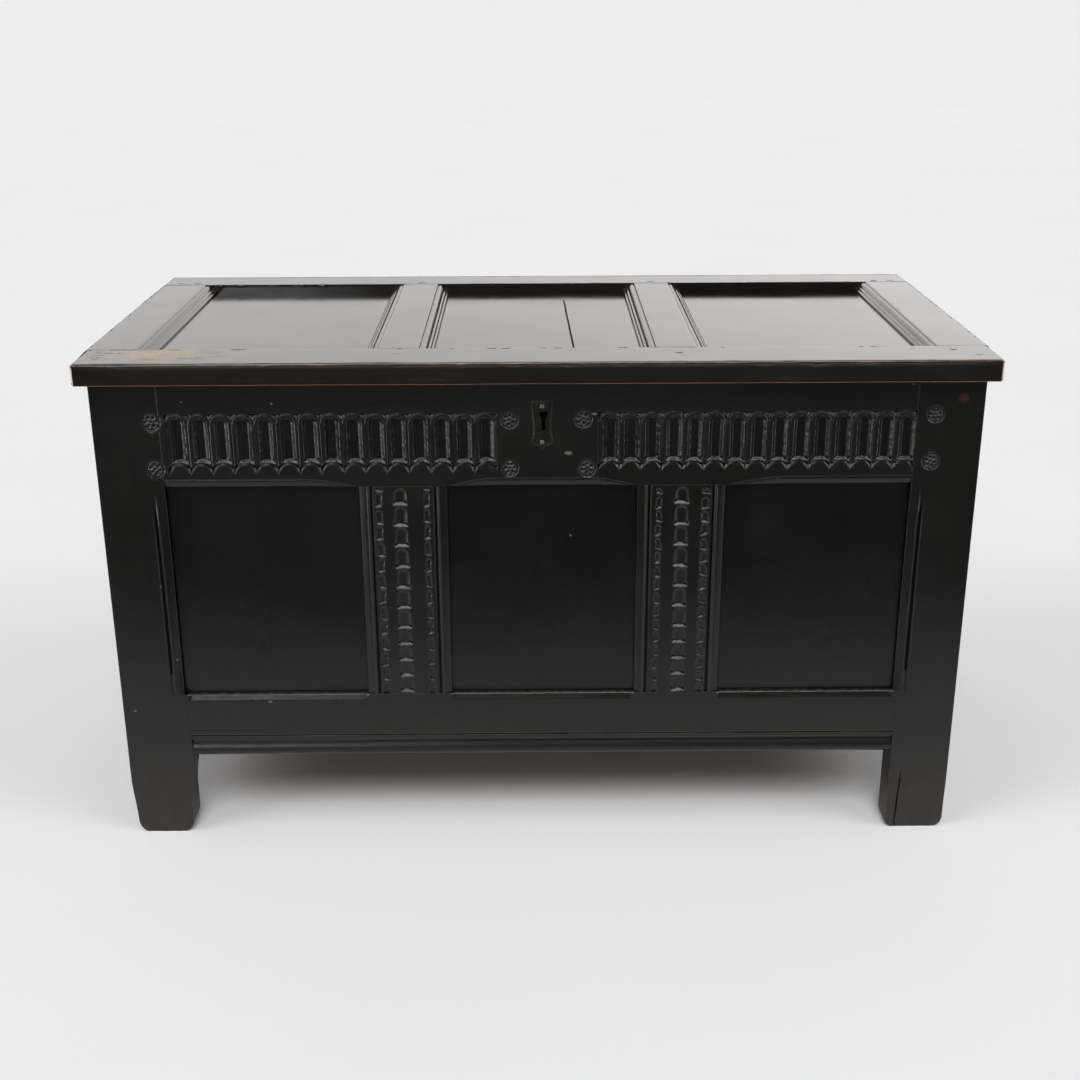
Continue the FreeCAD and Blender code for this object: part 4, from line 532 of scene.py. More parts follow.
def bar(axis, stations, outline, waver, chips, seed, ease):
    """The form of a member that runs along an axis with one outline, a loop of (other, z). Its
    surface wavers, its arrises are chipped and its ends are eased."""
    outline = divided(outline, BAR_SPACING)
    if np.sum(cross(outline, np.roll(outline, -1, axis=0))) < 0:
        outline = outline[::-1]
    following, before = np.roll(outline, -1, axis=0), np.roll(outline, 1, axis=0)
    way = following - before
    normal = np.stack([way[:, 1], -way[:, 0]], axis=-1) / np.linalg.norm(way, axis=1)[:, None]
    first, second = outline - before, following - outline
    turn = np.arctan2(cross(first, second), np.sum(first * second, axis=1))
    bend = turn / (np.linalg.norm(way, axis=1) / 2)
    worn = unit(bend * 1.3)

    stations = with_edges(stations, ease)
    around = np.concatenate([[0], np.cumsum(np.linalg.norm(second, axis=1))[:-1]])
    grid_along, grid_around = np.meshgrid(stations, around, indexing="ij")
    to_end = np.minimum(stations - stations[0], stations[-1] - stations)
    shift = waver * waves(grid_along, grid_around, WAVER_SIZE, seed) - edge_drop(to_end, ease)[:, None]
    nicks = unit(waves(grid_along, 3 * grid_around, NICK_SIZE, seed + 1) - NICK_LEVEL)
    upper = outline[:, 1] > (LID_LOW + LID_TOP) / 2
    shift = shift - chips * 3 * nicks * (worn * upper)[None, :]
    ring = outline[None, :, :] + normal[None, :, :] * shift[:, :, None]
    along = np.broadcast_to(stations[:, None], shift.shape)
    order = [along, ring[:, :, 0], ring[:, :, 1]] if axis == "x" else [ring[:, :, 0], along, ring[:, :, 1]]
    points = np.stack(order, axis=-1).reshape(-1, 3)
    index = np.arange(shift.size).reshape(shift.shape)
    cells = [index[:-1], np.roll(index[:-1], -1, axis=1), np.roll(index[1:], -1, axis=1), index[1:]]
    faces = np.stack(cells, axis=-1).reshape(-1, 4).tolist()
    faces += [index[0][::-1].tolist(), index[-1].tolist()]
    if axis == "y":
        faces = [cell[::-1] for cell in faces]
    wear = np.broadcast_to(worn[None, :], shift.shape).copy()
    wear[to_end < ease] = np.maximum(wear[to_end < ease], 0.7)
    # Painted shade in the outline's hollow bends
    cavity_shade = np.broadcast_to(unit(-bend * 1.5)[None, :], shift.shape)
    return points, faces, {"wear": wear.reshape(-1), "cavity_shade": cavity_shade.reshape(-1)}


def cad_mesh(node):
    """The mesh of a CAD node, with its doubled points joined."""
    mesh = bmesh.new()
    mesh.from_mesh(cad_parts[node].data)
    bmesh.ops.remove_doubles(mesh, verts=mesh.verts, dist=1e-6)
    return mesh


def form_of(mesh, unit=MM):
    """The form of a mesh without wear. It frees the mesh."""
    mesh.verts.index_update()
    points = [list(vertex.co / unit) for vertex in mesh.verts]
    faces = [[vertex.index for vertex in cell.verts] for cell in mesh.faces]
    mesh.free()
    return points, faces, {}


# -------- carving, as depths below a face

def deepest(*cuts):
    """The deepest of several cuts at each place."""
    return np.maximum.reduce(cuts)


def bowed(across, half, bow):
    """How far a cut's foot bows up at a place across it."""
    return bow * (1 - np.clip(across / half, -1, 1) ** 2)


def gouge(across, above, half, tall, deep, run, wall, bow, fullness=2.0, flanks=None):
    """A gouge cut, from places across its middle and above its foot. From an arched crown it deepens
    over the length run, down to a sloping stop cut that bows up by bow. The fuller it is, the flatter
    is its floor. flanks gives the widths of its left and right sides in place of fullness."""
    arch = unit((above - (tall - half)) / half)
    width = half * np.sqrt(1 - arch ** 2) + 0.01
    if flanks:
        section = np.minimum(unit((width + across) / flanks[0]),
                             unit((width - across) / flanks[1]))
        section = section * (2 - section) ** 0.5
    else:
        section = 1 - unit(np.abs(across) / width) ** fullness
    share = unit((tall - above) / run)
    entry = np.sqrt(1 - (1 - share) ** 2)
    return deep * section * entry * unit((above - bowed(across, half, bow)) / wall)


def stop_cut(across, above, half, deep, wall, bow):
    """The wide cut across a gouge cut's foot: a sloping wall under a floor that runs out."""
    rise = above - bowed(across, half, bow)
    slope = unit(rise / wall) * unit(1 - (rise - wall) / (1.3 * wall))
    return deep * slope * unit((half - np.abs(across)) / 1.4)


# Roundels at the ends of the frieze: place and the half width of the outer ring
ROUNDELS = [(-508, 618, 11.5), (-508, 553, 11.5), (-38, 618, 11.0), (-37.6, 551.6, 11.0),
            (59, 619, 11.5), (64.7, 551, 11.5), (522.8, 623, 11.0), (521.8, 558, 11.0)]
PETALS = 6


def roundels(across, up):
    """A rim, a ring of chip cuts and a dimple for each roundel."""
    total = np.zeros_like(across)
    for index, (x, z, radius) in enumerate(ROUNDELS):
        reach = np.hypot(across - x, up - z)
        if reach.min() > 2 * radius:
            continue
        chips = 0.55 + 0.45 * np.cos(PETALS * np.arctan2(up - z, across - x) + 2 * index)
        ring = 2.7 * chips * np.clip(1 - ((reach - 0.55 * radius) / (0.3 * radius)) ** 2, 0, None)
        rim = vee(reach - 0.95 * radius, 1.9, 1.9)
        dimple = 1.8 * np.clip(1 - (reach / 2.0) ** 2, 0, None)
        total = deepest(total, ring, rim, dimple)
    return total


FLUTES = 15
FLUTE_SEED = 90
# Each half of the frieze: its first flute's middle, the pitch, the seed, how far its scallops sit
# above the mean, and the widths of a flute's left and right flank
FLUTE_ROWS = [(-475.8, 28.97, 3, -1.0, (3.6, 6.0)), (93.5, 27.96, 4, 2.0, (5.0, 5.0))]
# A flute's trough: how far right of the unit's middle, its foot, and its gouge cut
FLUTE_SHIFT = 1.8
FLUTE_FOOT = 558.8
FLUTE_TALL = 65.5
FLUTE_HALF = 9.6
FLUTE_DEEP = 5.2
FLUTE_RUN = 7.0
FLUTE_WALL = 3.8
FLUTE_STOP_HALF = 10.8
FLUTE_STOP_DEEP = 4.0
FLUTE_BOW = 2.2
ARC_TOP = 628.5
SCALLOP_LOW = 545.5
SCALLOP_RISE = 12.0
SCALLOP_CHIP = 5.2


def flutes(across, up):
    """The frieze's flutes, each inside an incised outline with an arched head and a scalloped foot."""
    total = np.zeros_like(across)
    for first, pitch, seed, scallops_up, flanks in FLUTE_ROWS:
        draw = np.random.RandomState(seed)
        radius = pitch / 2
        rise = SCALLOP_RISE - scallops_up
        for step in range(FLUTES):
            shift, lift, deep, lean = draw.uniform(-1, 1, 4)
            middle = first + step * pitch
            near = np.abs(across[:, 0] - middle) <= radius + 0.01
            x, z = across[near] - middle, up[near]
            ragged = 0.5 * waves(x, z, 9, FLUTE_SEED + step)
            beside = x - FLUTE_SHIFT - 0.5 * shift - 0.008 * lean * (z - 595) + ragged
            above = z - FLUTE_FOOT - 0.9 * lift - 0.04 * lean * x
            trough = gouge(beside, above, FLUTE_HALF + 0.4 * shift, FLUTE_TALL - 1.5 * abs(shift),
                           FLUTE_DEEP + 0.5 * deep, FLUTE_RUN, FLUTE_WALL, FLUTE_BOW, flanks=flanks)
            stop = stop_cut(beside, above, FLUTE_STOP_HALF, FLUTE_STOP_DEEP, FLUTE_WALL, FLUTE_BOW)
            arc_low = ARC_TOP + 0.8 * lift - radius
            past = np.hypot(x, z - arc_low) - radius
            spandrel = np.clip(np.minimum(1.1 * (past + 0.3), 1.3 * (ARC_TOP - z)), 0, 3.4)
            head = np.where(z > arc_low, deepest(vee(past + 0.6, 1.4, 1.3), spandrel), 0)
            side = np.where((z <= arc_low) & (z > SCALLOP_LOW + scallops_up - 1),
                            vee(radius - np.abs(x), 1.2, 0.8), 0)
            share = unit(1 - (x / radius) ** 2)
            scallop = SCALLOP_LOW + scallops_up + rise * share + 0.7 * deep
            over = (z - scallop) / np.hypot(1, 2 * rise * x / radius ** 2)
            foot = np.clip(np.minimum(1.15 * over, 4.0 * (SCALLOP_CHIP - over)), 0, 4.6)
            foot = foot * (0.25 + 0.75 * (1 - share))
            total[near] = deepest(total[near], trough, stop, head, side, foot)
    return total


def run_out(along, low, high, fade_low, fade_high):
    """How far a moulding has run off its edge, up to 1 at its ends. A fade of 0 keeps an end square."""
    gone = np.zeros_like(along)
    for inside, fade in ((along - low, fade_low), (high - along, fade_high)):
        if fade:
            gone = deepest(gone, unit(1 - inside / fade) ** 1.6)
    return gone


# The edge mouldings of the front: how wide and deep the round is, the fillet beside it and its line
ROUND_WIDE = 9.0
ROUND_DEEP = 3.4
FILLET = 0.9
LINE_HALF = 1.8
LINE_DEEP = 1.7
# The upright mouldings' round has a hollow beside it in place of the line
UPRIGHT_WIDE = 10.5
UPRIGHT_HOLLOW = 15.5
HOLLOW_REACH = 3.4
UPRIGHT_DEEP = 2.4


def edge_round(inset, wide):
    """A flattish round along an edge, by the distance from the edge."""
    share = unit(1 - inset / wide)
    return np.where(inset < wide, FILLET + ROUND_DEEP * share ** 1.4, 0)


def upright_hollow(inset):
    """1 along the hollow beside an upright round, and 0 outside it."""
    return np.clip(1 - ((inset - UPRIGHT_HOLLOW) / HOLLOW_REACH) ** 2, 0, None)


def upright_round(inset):
    """The round and the hollow that run up the stiles and muntins."""
    return deepest(edge_round(inset, UPRIGHT_WIDE), UPRIGHT_DEEP * upright_hollow(inset))


# The keyhole through the top rail, and how far its mouldings fade out at the ends of each bay
KEY_X = 6.9
KEY_HIGH = 631.0
KEY_NECK = 618.0
KEY_LOW = 603.0
KEY_HALF = 3.2
KEY_HEAD_HALF = 6.3
KEY_DEPTH = 8.0
BAY_FADES = {"left": (0, 75), "middle": (62, 62), "right": (80, 0)}
# The carved part of the top rail is this thick, in front of the CAD rail's own back
CARVED_DEPTH = 9.0


def top_rail_relief(across, up):
    depth = 0.15 * waves(across, up, 150, 21) + 0.05 * waves(across, up, 18, 22)
    depth = depth + deepest(flutes(across, up), roundels(across, up))
    for hand, (low, high) in BAYS.items():
        inset = up - HEAD_Z + 12 * run_out(across, low, high, *BAY_FADES[hand])
        line = vee(inset - ROUND_WIDE - 0.6, LINE_HALF, LINE_DEEP)
        mould = deepest(edge_round(inset, ROUND_WIDE), line)
        depth = np.where((across > low) & (across < high), deepest(depth, mould), depth)
    half = np.where(up > KEY_NECK, KEY_HEAD_HALF, KEY_HALF)
    keyhole = (np.abs(across - KEY_X) < half) & (up > KEY_LOW) & (up < KEY_HIGH)
    return np.where(keyhole, KEY_DEPTH, depth)


def cad_behind(node, depth):
    """The form of the part of a CAD node that lies more than a depth behind the chest's face."""
    mesh = cad_mesh(node)
    parts = mesh.verts[:] + mesh.edges[:] + mesh.faces[:]
    cut = bmesh.ops.bisect_plane(mesh, geom=parts, plane_co=(0, (FACE_Y + depth) * MM, 0),
                                 plane_no=(0, -1, 0), clear_outer=True)
    rim = [item for item in cut["geom_cut"] if isinstance(item, bmesh.types.BMEdge)]
    bmesh.ops.triangle_fill(mesh, edges=rim, use_beauty=True, normal=(0, -1, 0))
    return form_of(mesh)


def joined(first, second):
    """Two closed forms as one; the second has no wear."""
    points, faces, values = first
    more_points, more_faces, _ = second
    faces = faces + [[len(points) + index for index in cell] for cell in more_faces]
    unworn = np.zeros(len(more_points))
    values = {key: np.concatenate([amounts, unworn]) for key, amounts in values.items()}
    return np.concatenate([points, more_points]), faces, values


def keyhole_painted_shade(across, up):
    """Painted shade inside the keyhole."""
    return 1.3 * ((np.abs(across - KEY_X) < KEY_HEAD_HALF + 1) & (up > KEY_LOW - 1) & (up < KEY_HIGH + 1))


def add_top_rail():
    across = lines(-STILE_X, (-486, 2), (-66, 0.8), (-54, 3), (-22, 0.9), (-3, 3), (17, 0.8), (46, 3),
                   (78, 0.9), (492, 0.8), (STILE_X, 2))
    up = lines(HEAD_Z, (634, 0.9), (BODY_TOP, 5))
    front = slab(on_front, across, up, top_rail_relief, [(0, CARVED_DEPTH)], 0.7, painted_shade=keyhole_painted_shade)
    make_piece("carved_frieze", joined(front, cad_behind("front_top_rail", CARVED_DEPTH)),
               front_oak["x"], "front_top_rail")


# -------- stiles of the front

# The left and the right foot, and the left and the right edge of each: how far it is worn in, from
# which height down to which, and its bottom corner's cut, wide and high
FEET = {-1: ((4.5, 90, 20, 15, 22), (8.0, 127, 60, 15, 22)),
        1: ((0.0, 90, 20, 12, 10), (1.0, 90, 20, 13, 16))}
# The bottom rail and the legs' inner edges stand this far right of the panels' edges, from the sill down
LEG_SHIFT = 4.5
SHIFT_TALL = 0.6
# A crack that runs up the right leg: x at its foot and at its top, its height, width and depth
CRACK = (516.7, 521.6)
CRACK_TALL = 112.0
CRACK_HALF = 1.4
CRACK_DEEP = 3.0


def stile_painted_shade(across, up):
    """Painted shade in the hollow beside the stile's moulding."""
    beside = smooth(up, SILL_Z + 14, SILL_Z + 40) * smooth(-up, -HEAD_Z + 14, -HEAD_Z + 40)
    return upright_hollow(np.abs(across) - STILE_X) * beside


def inner_side_painted_shade(across, up):
    """Painted shade on the stile's inner side, whose gloss it also dims."""
    return 1.3 * (np.abs(across) < STILE_X + 12)


def foot_shape(low, high, side):
    """Shifts the leg's inner edge, wears the foot in and rounds its bottom corners off."""
    def shape(across, up):
        share = (across - low) / (high - low)
        shift = LEG_SHIFT * unit((SILL_Z - up) / SHIFT_TALL)
        edges = []
        for worn, high_end, low_end, cut, tall in FEET[side]:
            below = unit(1 - up / tall)
            edges.append(worn * smooth(-up, -high_end, -low_end) + cut * (1 - np.sqrt(1 - below ** 2)))
        left = low + edges[0] + (shift if side > 0 else 0)
        right = high - edges[1] + (shift if side < 0 else 0)
        return left + share * (right - left), up
    return shape


def stile_relief(side):
    """The inner edge's moulding beside the panel, the frieze's outer roundels and the crack."""
    def relief(across, up):
        depth = 0.22 * waves(across, up, 170, 31 + side) + 0.06 * waves(across, up, 20, 33 + side)
        mould = upright_round(np.abs(across) - STILE_X) * (1 - run_out(up, SILL_Z, HEAD_Z - 4, 45, 60))
        beside = (up > SILL_Z) & (up < HEAD_Z - 2)
        depth = np.where(beside, deepest(depth, mould), depth)
        depth = depth + roundels(across, up)
        if side > 0:
            share = unit(up / CRACK_TALL)
            line = CRACK[0] - LEG_SHIFT + share * (CRACK[1] - CRACK[0]) + 0.5 * waves(0 * up, up, 40, 36)
            depth = depth + vee(across - line, CRACK_HALF, CRACK_DEEP * smooth(-up, -CRACK_TALL, -70))
        return depth + 1.2 * smooth(-up, -14, 0) * (0.5 + 0.5 * waves(across, up, 30, 35))
    return relief


def add_stile(side):
    hand = "left" if side < 0 else "right"
    low, high = sorted((side * SIDE_X, side * STILE_X))
    runs = [(low + 64, 3.2), (high, 0.8)] if side < 0 else [(low + 37, 0.8), (high, 3.2)]
    up = lines(0, (24, 1.5), (SILL_Z - SHIFT_TALL, 5), (SILL_Z, SHIFT_TALL), (246, 1.5), (490, 5),
               (530, 1.5), (544, 3), (570, 1.0), (606, 4), (636, 1.0), (BODY_TOP, 4))
    front = slab(on_front, lines(low, *runs), up, stile_relief(side),
                 [(0, STILE_DEPTH - 0.8), (0.5, STILE_DEPTH)], 1.0, foot_shape(low, high, side),
                 stile_painted_shade, inner_side_painted_shade)
    make_piece(f"front_{hand}_post", front, front_oak["z"], f"front_{hand}_stile")


# -------- pegs and escutcheon of the front

# How far the worn heads of the front's pegs stand out
PEG_PROUD = 0.05
PLATE_X = 5.25
PLATE_THICK = 1.5
# The plate's worn border slopes back from a face that is this share of its outline wide and tall
PLATE_FACE = (0.80, 0.94)
PLATE_MIDDLE = 612.0
CORNER_RADIUS = 1.6
# The right half of the plate's outline from its top to its tip, and of its keyhole: half width and height
PLATE_OUTLINE = [(13.0, 645.0), (14.0, 643.0), (13.6, 633.0), (12.6, 622.0), (11.6, 610.0), (11.4, 600.5),
                 (13.6, 596.0), (14.2, 590.0), (12.6, 584.6), (7.8, 583.0), (4.2, 582.6), (1.2, 578.0)]
KEYHOLE = [(1.6, 630.2), (4.6, 629.4), (5.6, 626.0), (3.6, 621.4), (2.5, 617.0), (2.4, 604.0)]


def add_front_pegs():
    """The CAD pegs, with their heads worn down almost flush."""
    mesh = cad_mesh("front_pegs")
    for vertex in mesh.verts:
        vertex.co.y = max(vertex.co.y, (FACE_Y - PEG_PROUD) * MM)
    make_piece("worn_front_pegs", form_of(mesh), front_oak["z"], "front_pegs")


def add_escutcheon():
    """The plate, with a keyhole that has a wide head over a narrow slot."""
    mesh = bmesh.new()
    scales = {}
    rim = []
    outlines = ((PLATE_X, PLATE_OUTLINE, PLATE_FACE), (KEY_X, KEYHOLE, (1, 1)))
    for middle, half_outline, (wide, tall) in outlines:
        ring = half_outline + [(-half, z) for half, z in reversed(half_outline)]
        loop = [mesh.verts.new((middle + wide * x, FACE_Y - PLATE_THICK,
                                PLATE_MIDDLE + tall * (z - PLATE_MIDDLE)))
                for x, z in eased(ring, CORNER_RADIUS)]
        scales.update({vertex: (wide, tall) for vertex in loop})
        rim += zip(loop[-1:] + loop[:-1], loop)
    for pair in rim:
        mesh.edges.new(pair)
    bmesh.ops.triangle_fill(mesh, edges=mesh.edges[:], use_beauty=True, normal=(0, -1, 0))
    behind = {vertex: mesh.verts.new((PLATE_X + (vertex.co.x - PLATE_X) / wide, FACE_Y,
                                      PLATE_MIDDLE + (vertex.co.z - PLATE_MIDDLE) / tall))
              for vertex, (wide, tall) in scales.items()}
    for cell in mesh.faces[:]:
        mesh.faces.new([behind[vertex] for vertex in reversed(cell.verts)])
    for before, vertex in rim:
        mesh.faces.new((before, vertex, behind[vertex], behind[before])).material_index = 1
    bmesh.ops.recalc_face_normals(mesh, faces=mesh.faces[:])
    finishes = [cell.material_index for cell in mesh.faces]
    plate = make_piece("keyhole_plate", form_of(mesh, 1), plate_iron, "escutcheon")
    plate.data.materials.append(worn_iron)
    plate.data.polygons.foreach_set("material_index", finishes)


# -------- muntins, bottom rail and panels

# The muntins' column of hollows, from the sill up: the lower ones stand closer than the upper ones
HOLLOW_START = SILL_Z + 0.3
HOLLOW_PITCHES = [24.6] * 4 + [30.0] * 7
HOLLOW_HALF = 9.0
HOLLOW_STOP_HALF = 10.2
HOLLOW_DEEP = 4.4
HOLLOW_WALL = 3.6
HOLLOW_BOW = 1.4
# Each muntin: its column's place right of the middle and its lean; its rows of small cuts, by place
# and half width; their pitch; and the seed
MUNTIN_CARVING = {"front_left_muntin": (-4.6, -0.8, ((-33.0, 4.8), (31.0, 3.9)), 23.4, 5),
                  "front_right_muntin": (0.2, -2.4, ((-30.0, 3.9), (32.5, 5.0)), 19.8, 6)}
CUT_START = SILL_Z - 4.5
CUT_DEEP = 3.2
CUT_WALL = 3.0
CUT_BOW = 0.8
FULLNESS = 2.6


def hollow_column(across, up, draw):
    """The column of hollows, each shoaling towards its crown under the next one's stop cut."""
    cuts = np.zeros_like(across)
    foot = HOLLOW_START
    for pitch in HOLLOW_PITCHES:
        shift, lift, deep, turn = draw.uniform(-1, 1, 4)
        tall = min(pitch, HEAD_Z - 3 - foot)
        above = up - foot - 0.9 * lift + 0.05 * turn * across
        beside = across - 0.5 * shift - 0.04 * turn * above
        hollow = gouge(beside, above, HOLLOW_HALF, tall, HOLLOW_DEEP + 0.4 * deep, 6.0, HOLLOW_WALL,
                       HOLLOW_BOW, FULLNESS)
        shoal = 0.5 + 0.5 * unit(1 - above / tall)
        stop = stop_cut(beside, above, HOLLOW_STOP_HALF, 0.85 * HOLLOW_DEEP, HOLLOW_WALL, HOLLOW_BOW)
        cuts = deepest(cuts, hollow * shoal, stop)
        foot += pitch
    return cuts


def small_cuts(across, up, half, pitch, draw):
    """A row of small cuts, each followed by a nick to one side."""
    cuts = np.zeros_like(across)
    for step in range(int((HEAD_Z - 6 - CUT_START) / pitch) + 1):
        shift, lift, deep, turn = draw.uniform(-1, 1, 4)
        way = 1 if step % 2 else -1
        foot = CUT_START + step * pitch + 1.1 * lift
        tall = min(pitch - 1.5, HEAD_Z - 4 - foot)
        beside = across - 0.5 * way - 0.5 * shift
        above = up - foot + (0.2 * way + 0.1 * turn) * beside
        cut = gouge(beside, above, half, tall, CUT_DEEP + 0.5 * deep, 5.0, CUT_WALL, CUT_BOW, FULLNESS)
        cut = cut * (0.4 + 0.6 * unit(1 - above / tall))
        nick = gouge(beside + 0.55 * way * half, above - 0.5 * tall, 0.6 * half, 0.4 * tall,
                     0.6 * CUT_DEEP, 2.5, 0.7 * CUT_WALL, 0.8 * CUT_BOW)
        stop = stop_cut(beside, above, 1.15 * half, 0.8 * CUT_DEEP, CUT_WALL, CUT_BOW)
        cuts = deepest(cuts, cut, nick, stop)
    return cuts


def add_muntin(node):
    low, high = MUNTINS[node]
    column, lean, rows, pitch, seed = MUNTIN_CARVING[node]

    def relief(across, up):
        draw = np.random.RandomState(seed)
        x = across - (low + high) / 2
        depth = 0.12 * waves(across, up, 120, 40 + seed) + 0.04 * waves(across, up, 15, 41 + seed)
        share = (up - SILL_Z) / (HEAD_Z - SILL_Z)
        cuts = hollow_column(x - column + lean * (1 - share), up, draw)
        for row, half in rows:
            cuts = deepest(cuts, small_cuts(x - row, up, half, pitch, draw))
        return deepest(depth + cuts, upright_round(np.minimum(across - low, high - across)))

    # Painted shade in the hollows beside the muntin's rounds
    def painted_shade(across, up):
        return 0.6 * upright_hollow(np.minimum(across - low, high - across))

    front = slab(on_front, lines(low, (high, 0.9)), lines(SILL_Z, (HEAD_Z, 1.0)), relief,
                 [(0, RAIL_DEPTH)], 0.35, painted_shade=painted_shade)
    make_piece(node.replace("muntin", "carved_muntin"), front, front_oak["z"], node)


# The bottom rail's mouldings, from its lower edge up: height and depth below the face
BASE_PROFILE = [(124.0, 4.2), (126.0, 2.0), (128.0, 0.9), (131.0, 0.3), (134.0, 0.6), (137.0, 1.7),
                (140.0, 3.4), (142.0, 4.9), (143.5, 6.2), (147.5, 6.2), (148.5, 1.4), (154.5, 1.0),
                (155.2, 2.6), (156.6, 2.6), (157.4, 0.2), (160.0, 0.0), (220.0, 0.0)]
# The chamfer under each panel: its height, and the depth and height of its rounded top edge
SILL_CHAMFER = 9.0
SILL_SLOPE = 0.45
SILL_ROUND_TALL = 2.4
SILL_ROUND_DEEP = 7.0


def sill_chamfer(above):
    """Depth of the chamfer, by the height above its lower edge. Its top edge is worn round."""
    share = unit((above - SILL_CHAMFER + SILL_ROUND_TALL) / SILL_ROUND_TALL)
    return SILL_SLOPE * np.clip(above, 0, None) + SILL_ROUND_DEEP * (1 - np.sqrt(1 - share ** 2))


def bottom_rail_relief(across, up):
    sag = 0.6 * waves(across, 0 * up, 260, 50)
    depth = np.interp(up + sag * smooth(-up, -200, -170), *zip(*BASE_PROFILE))
    depth = depth + 0.25 * waves(across, up, 160, 51) + 0.05 * waves(across, up, 22, 52)
    ragged = 0.35 * waves(across, 0 * up, 16, 53) + 0.3 * waves(across, 0 * up, 7, 54)
    chipped = 1.4 * unit(waves(across, 0 * up, 24, 55) - 0.35)
    above = up - SILL_Z + SILL_CHAMFER + ragged * smooth(up, 212, 218) + chipped
    for hand, (low, high) in BAYS.items():
        low = LEG_SHIFT + low if hand == "left" else low
        stop = smooth(across, low - 1, low + 5) * smooth(-across, -high - 1, -high + 5)
        depth = deepest(depth, sill_chamfer(above) * stop)
    return depth


def add_bottom_rail():
    low, high = LEG_SHIFT - STILE_X, LEG_SHIFT + STILE_X
    runs = [run for edge in (*left_muntin, *right_muntin) for run in ((edge - 8, 2.5), (edge + 8, 1.0))]
    across = lines(low, (low + 8, 1.0), *runs, (high - 14, 2.5), (high, 1.0))
    up = lines(LEG_TOP, (163, 0.6), (208, 5), (216, 0.9), (SILL_Z, 0.35))
    board = slab(on_front, across, up, bottom_rail_relief, [(0, RAIL_DEPTH)], 0.35)
    make_piece("moulded_bottom_rail", board, sill_oak, "front_bottom_rail")


PANEL_DEPTH = 10.2
PANEL_SHOULDER = 17.8
PANEL_BACK = 22.2
PANEL_TONGUE = 8.5
PANEL_BEVEL = 42.5
PANEL_EASE = 0.5
PANEL_SEED = 60
# The front panels' grid is fine within this distance of their edges
PANEL_RIM = 7
# Marks on the front panels: place, and half width and height of each dent
DENTS = [(-385, 298, 5, 9), (-150, 402, 4, 3), (5, 398, 3, 2), (310, 420, 5, 4), (402, 300, 6, 3)]


def panel_lines(low, high):
    return lines(low - PANEL_TONGUE, (low + PANEL_RIM, 1.2), (high - PANEL_RIM, 4.0),
                 (high + PANEL_TONGUE, 1.2))


def add_front_panel(hand, low, high, seed):
    def relief(across, up):
        level = PANEL_DEPTH + 0.3 * waves(across, up, 190, seed) + 0.05 * waves(across, up, 24, seed + 1)
        for x, z, half, tall in DENTS:
            level = level + 0.4 * np.exp(-((across - x) / half) ** 2 - ((up - z) / tall) ** 2)
        return level

    # Painted shade along the panel's edges, beside the mouldings
    def painted_shade(across, up):
        near = np.minimum.reduce([across - low, high - across, up - SILL_Z, HEAD_Z - up])
        return 0.6 * (1 - smooth(near, 0.5, 5.0))

    front = slab(on_front, panel_lines(low, high), panel_lines(SILL_Z, HEAD_Z), relief,
                 [(0, PANEL_SHOULDER), (PANEL_BEVEL, PANEL_BACK)], PANEL_EASE, painted_shade=painted_shade)
    make_piece(f"front_{hand}_field", front, front_oak["z"], f"front_{hand}_panel")


# -------- lid

LID_STILE_X = 514.0
LID_MUNTINS = {"left": (-231.5, -139.5), "right": (139.5, 231.5)}
LID_BAYS = {"left": (-LID_STILE_X, LID_MUNTINS["left"][0]),
            "middle": (LID_MUNTINS["left"][1], LID_MUNTINS["right"][0]),
            "right": (LID_MUNTINS["right"][1], LID_STILE_X)}
# The lid's rails: front and back edge, the corners' radii from the lower front one on, the steps of
# a corner, and the waver, chips, seed and easing of the bar
LID_RAILS = {"front": (LID_FRONT_Y, LID_FRONT_JOINT, (1.5, 0.3, 0.3, 3.5), 6, 0.35, 0.5, 71, 4.0),
             "back": (LID_BACK_JOINT, LID_BACK_Y, (0.3, 1.4, 1.4, 0.3), 4, 0.25, 0.4, 73, 2.0)}
LID_CHIPS = 0.4
LID_EASE = 0.5
LID_SEED = 75
LID_PANEL_SEED = 80
LID_WAVER = {"muntin": 0.15, "stile": 0.2}
LID_PANEL_DEPTH = 13.2
LID_PANEL_SHOULDER = 20.8
LID_PANEL_BACK = 25.2
# The split in the middle lid panel: its front and back ends, its half width and its depth
SPLIT_FRONT = (51.0, -225.0)
SPLIT_BACK = (43.0, 165.0)
SPLIT_HALF = 1.3
SPLIT_DEEP = 5.0
# The lid's reeds, from the panel up to the top: distance from the edge, depth below the top, and the
# bulge of the run that ends there
REEDS = [(0, 29.0, 0), (0, 11.8, 0), (3.4, 8.8, 0.3), (3.8, 9.3, 0), (4.4, 8.6, 0), (7.4, 6.4, 0.3),
         (7.8, 6.8, 0), (8.5, 6.0, 0), (15.8, 1.4, 0.28), (16.5, 2.2, 0), (17.6, 1.9, 0), (18.8, 0, 0)]
REED_STEPS = 5


def reeded(edge, into):
    """One side of a lid member's outline, from its foot to its top. It starts where the edge is."""
    points = []
    for inset, drop, bulge in REEDS:
        end = np.array((edge + into * inset, LID_TOP - drop))
        if bulge:
            begin = points[-1]
            way = end - begin
            control = (begin + end) / 2 - into * bulge * np.array((way[1], -way[0]))
            points += curve(begin, control, end, np.linspace(0, 1, REED_STEPS + 1)[1:])
        else:
            points.append(end)
    return points


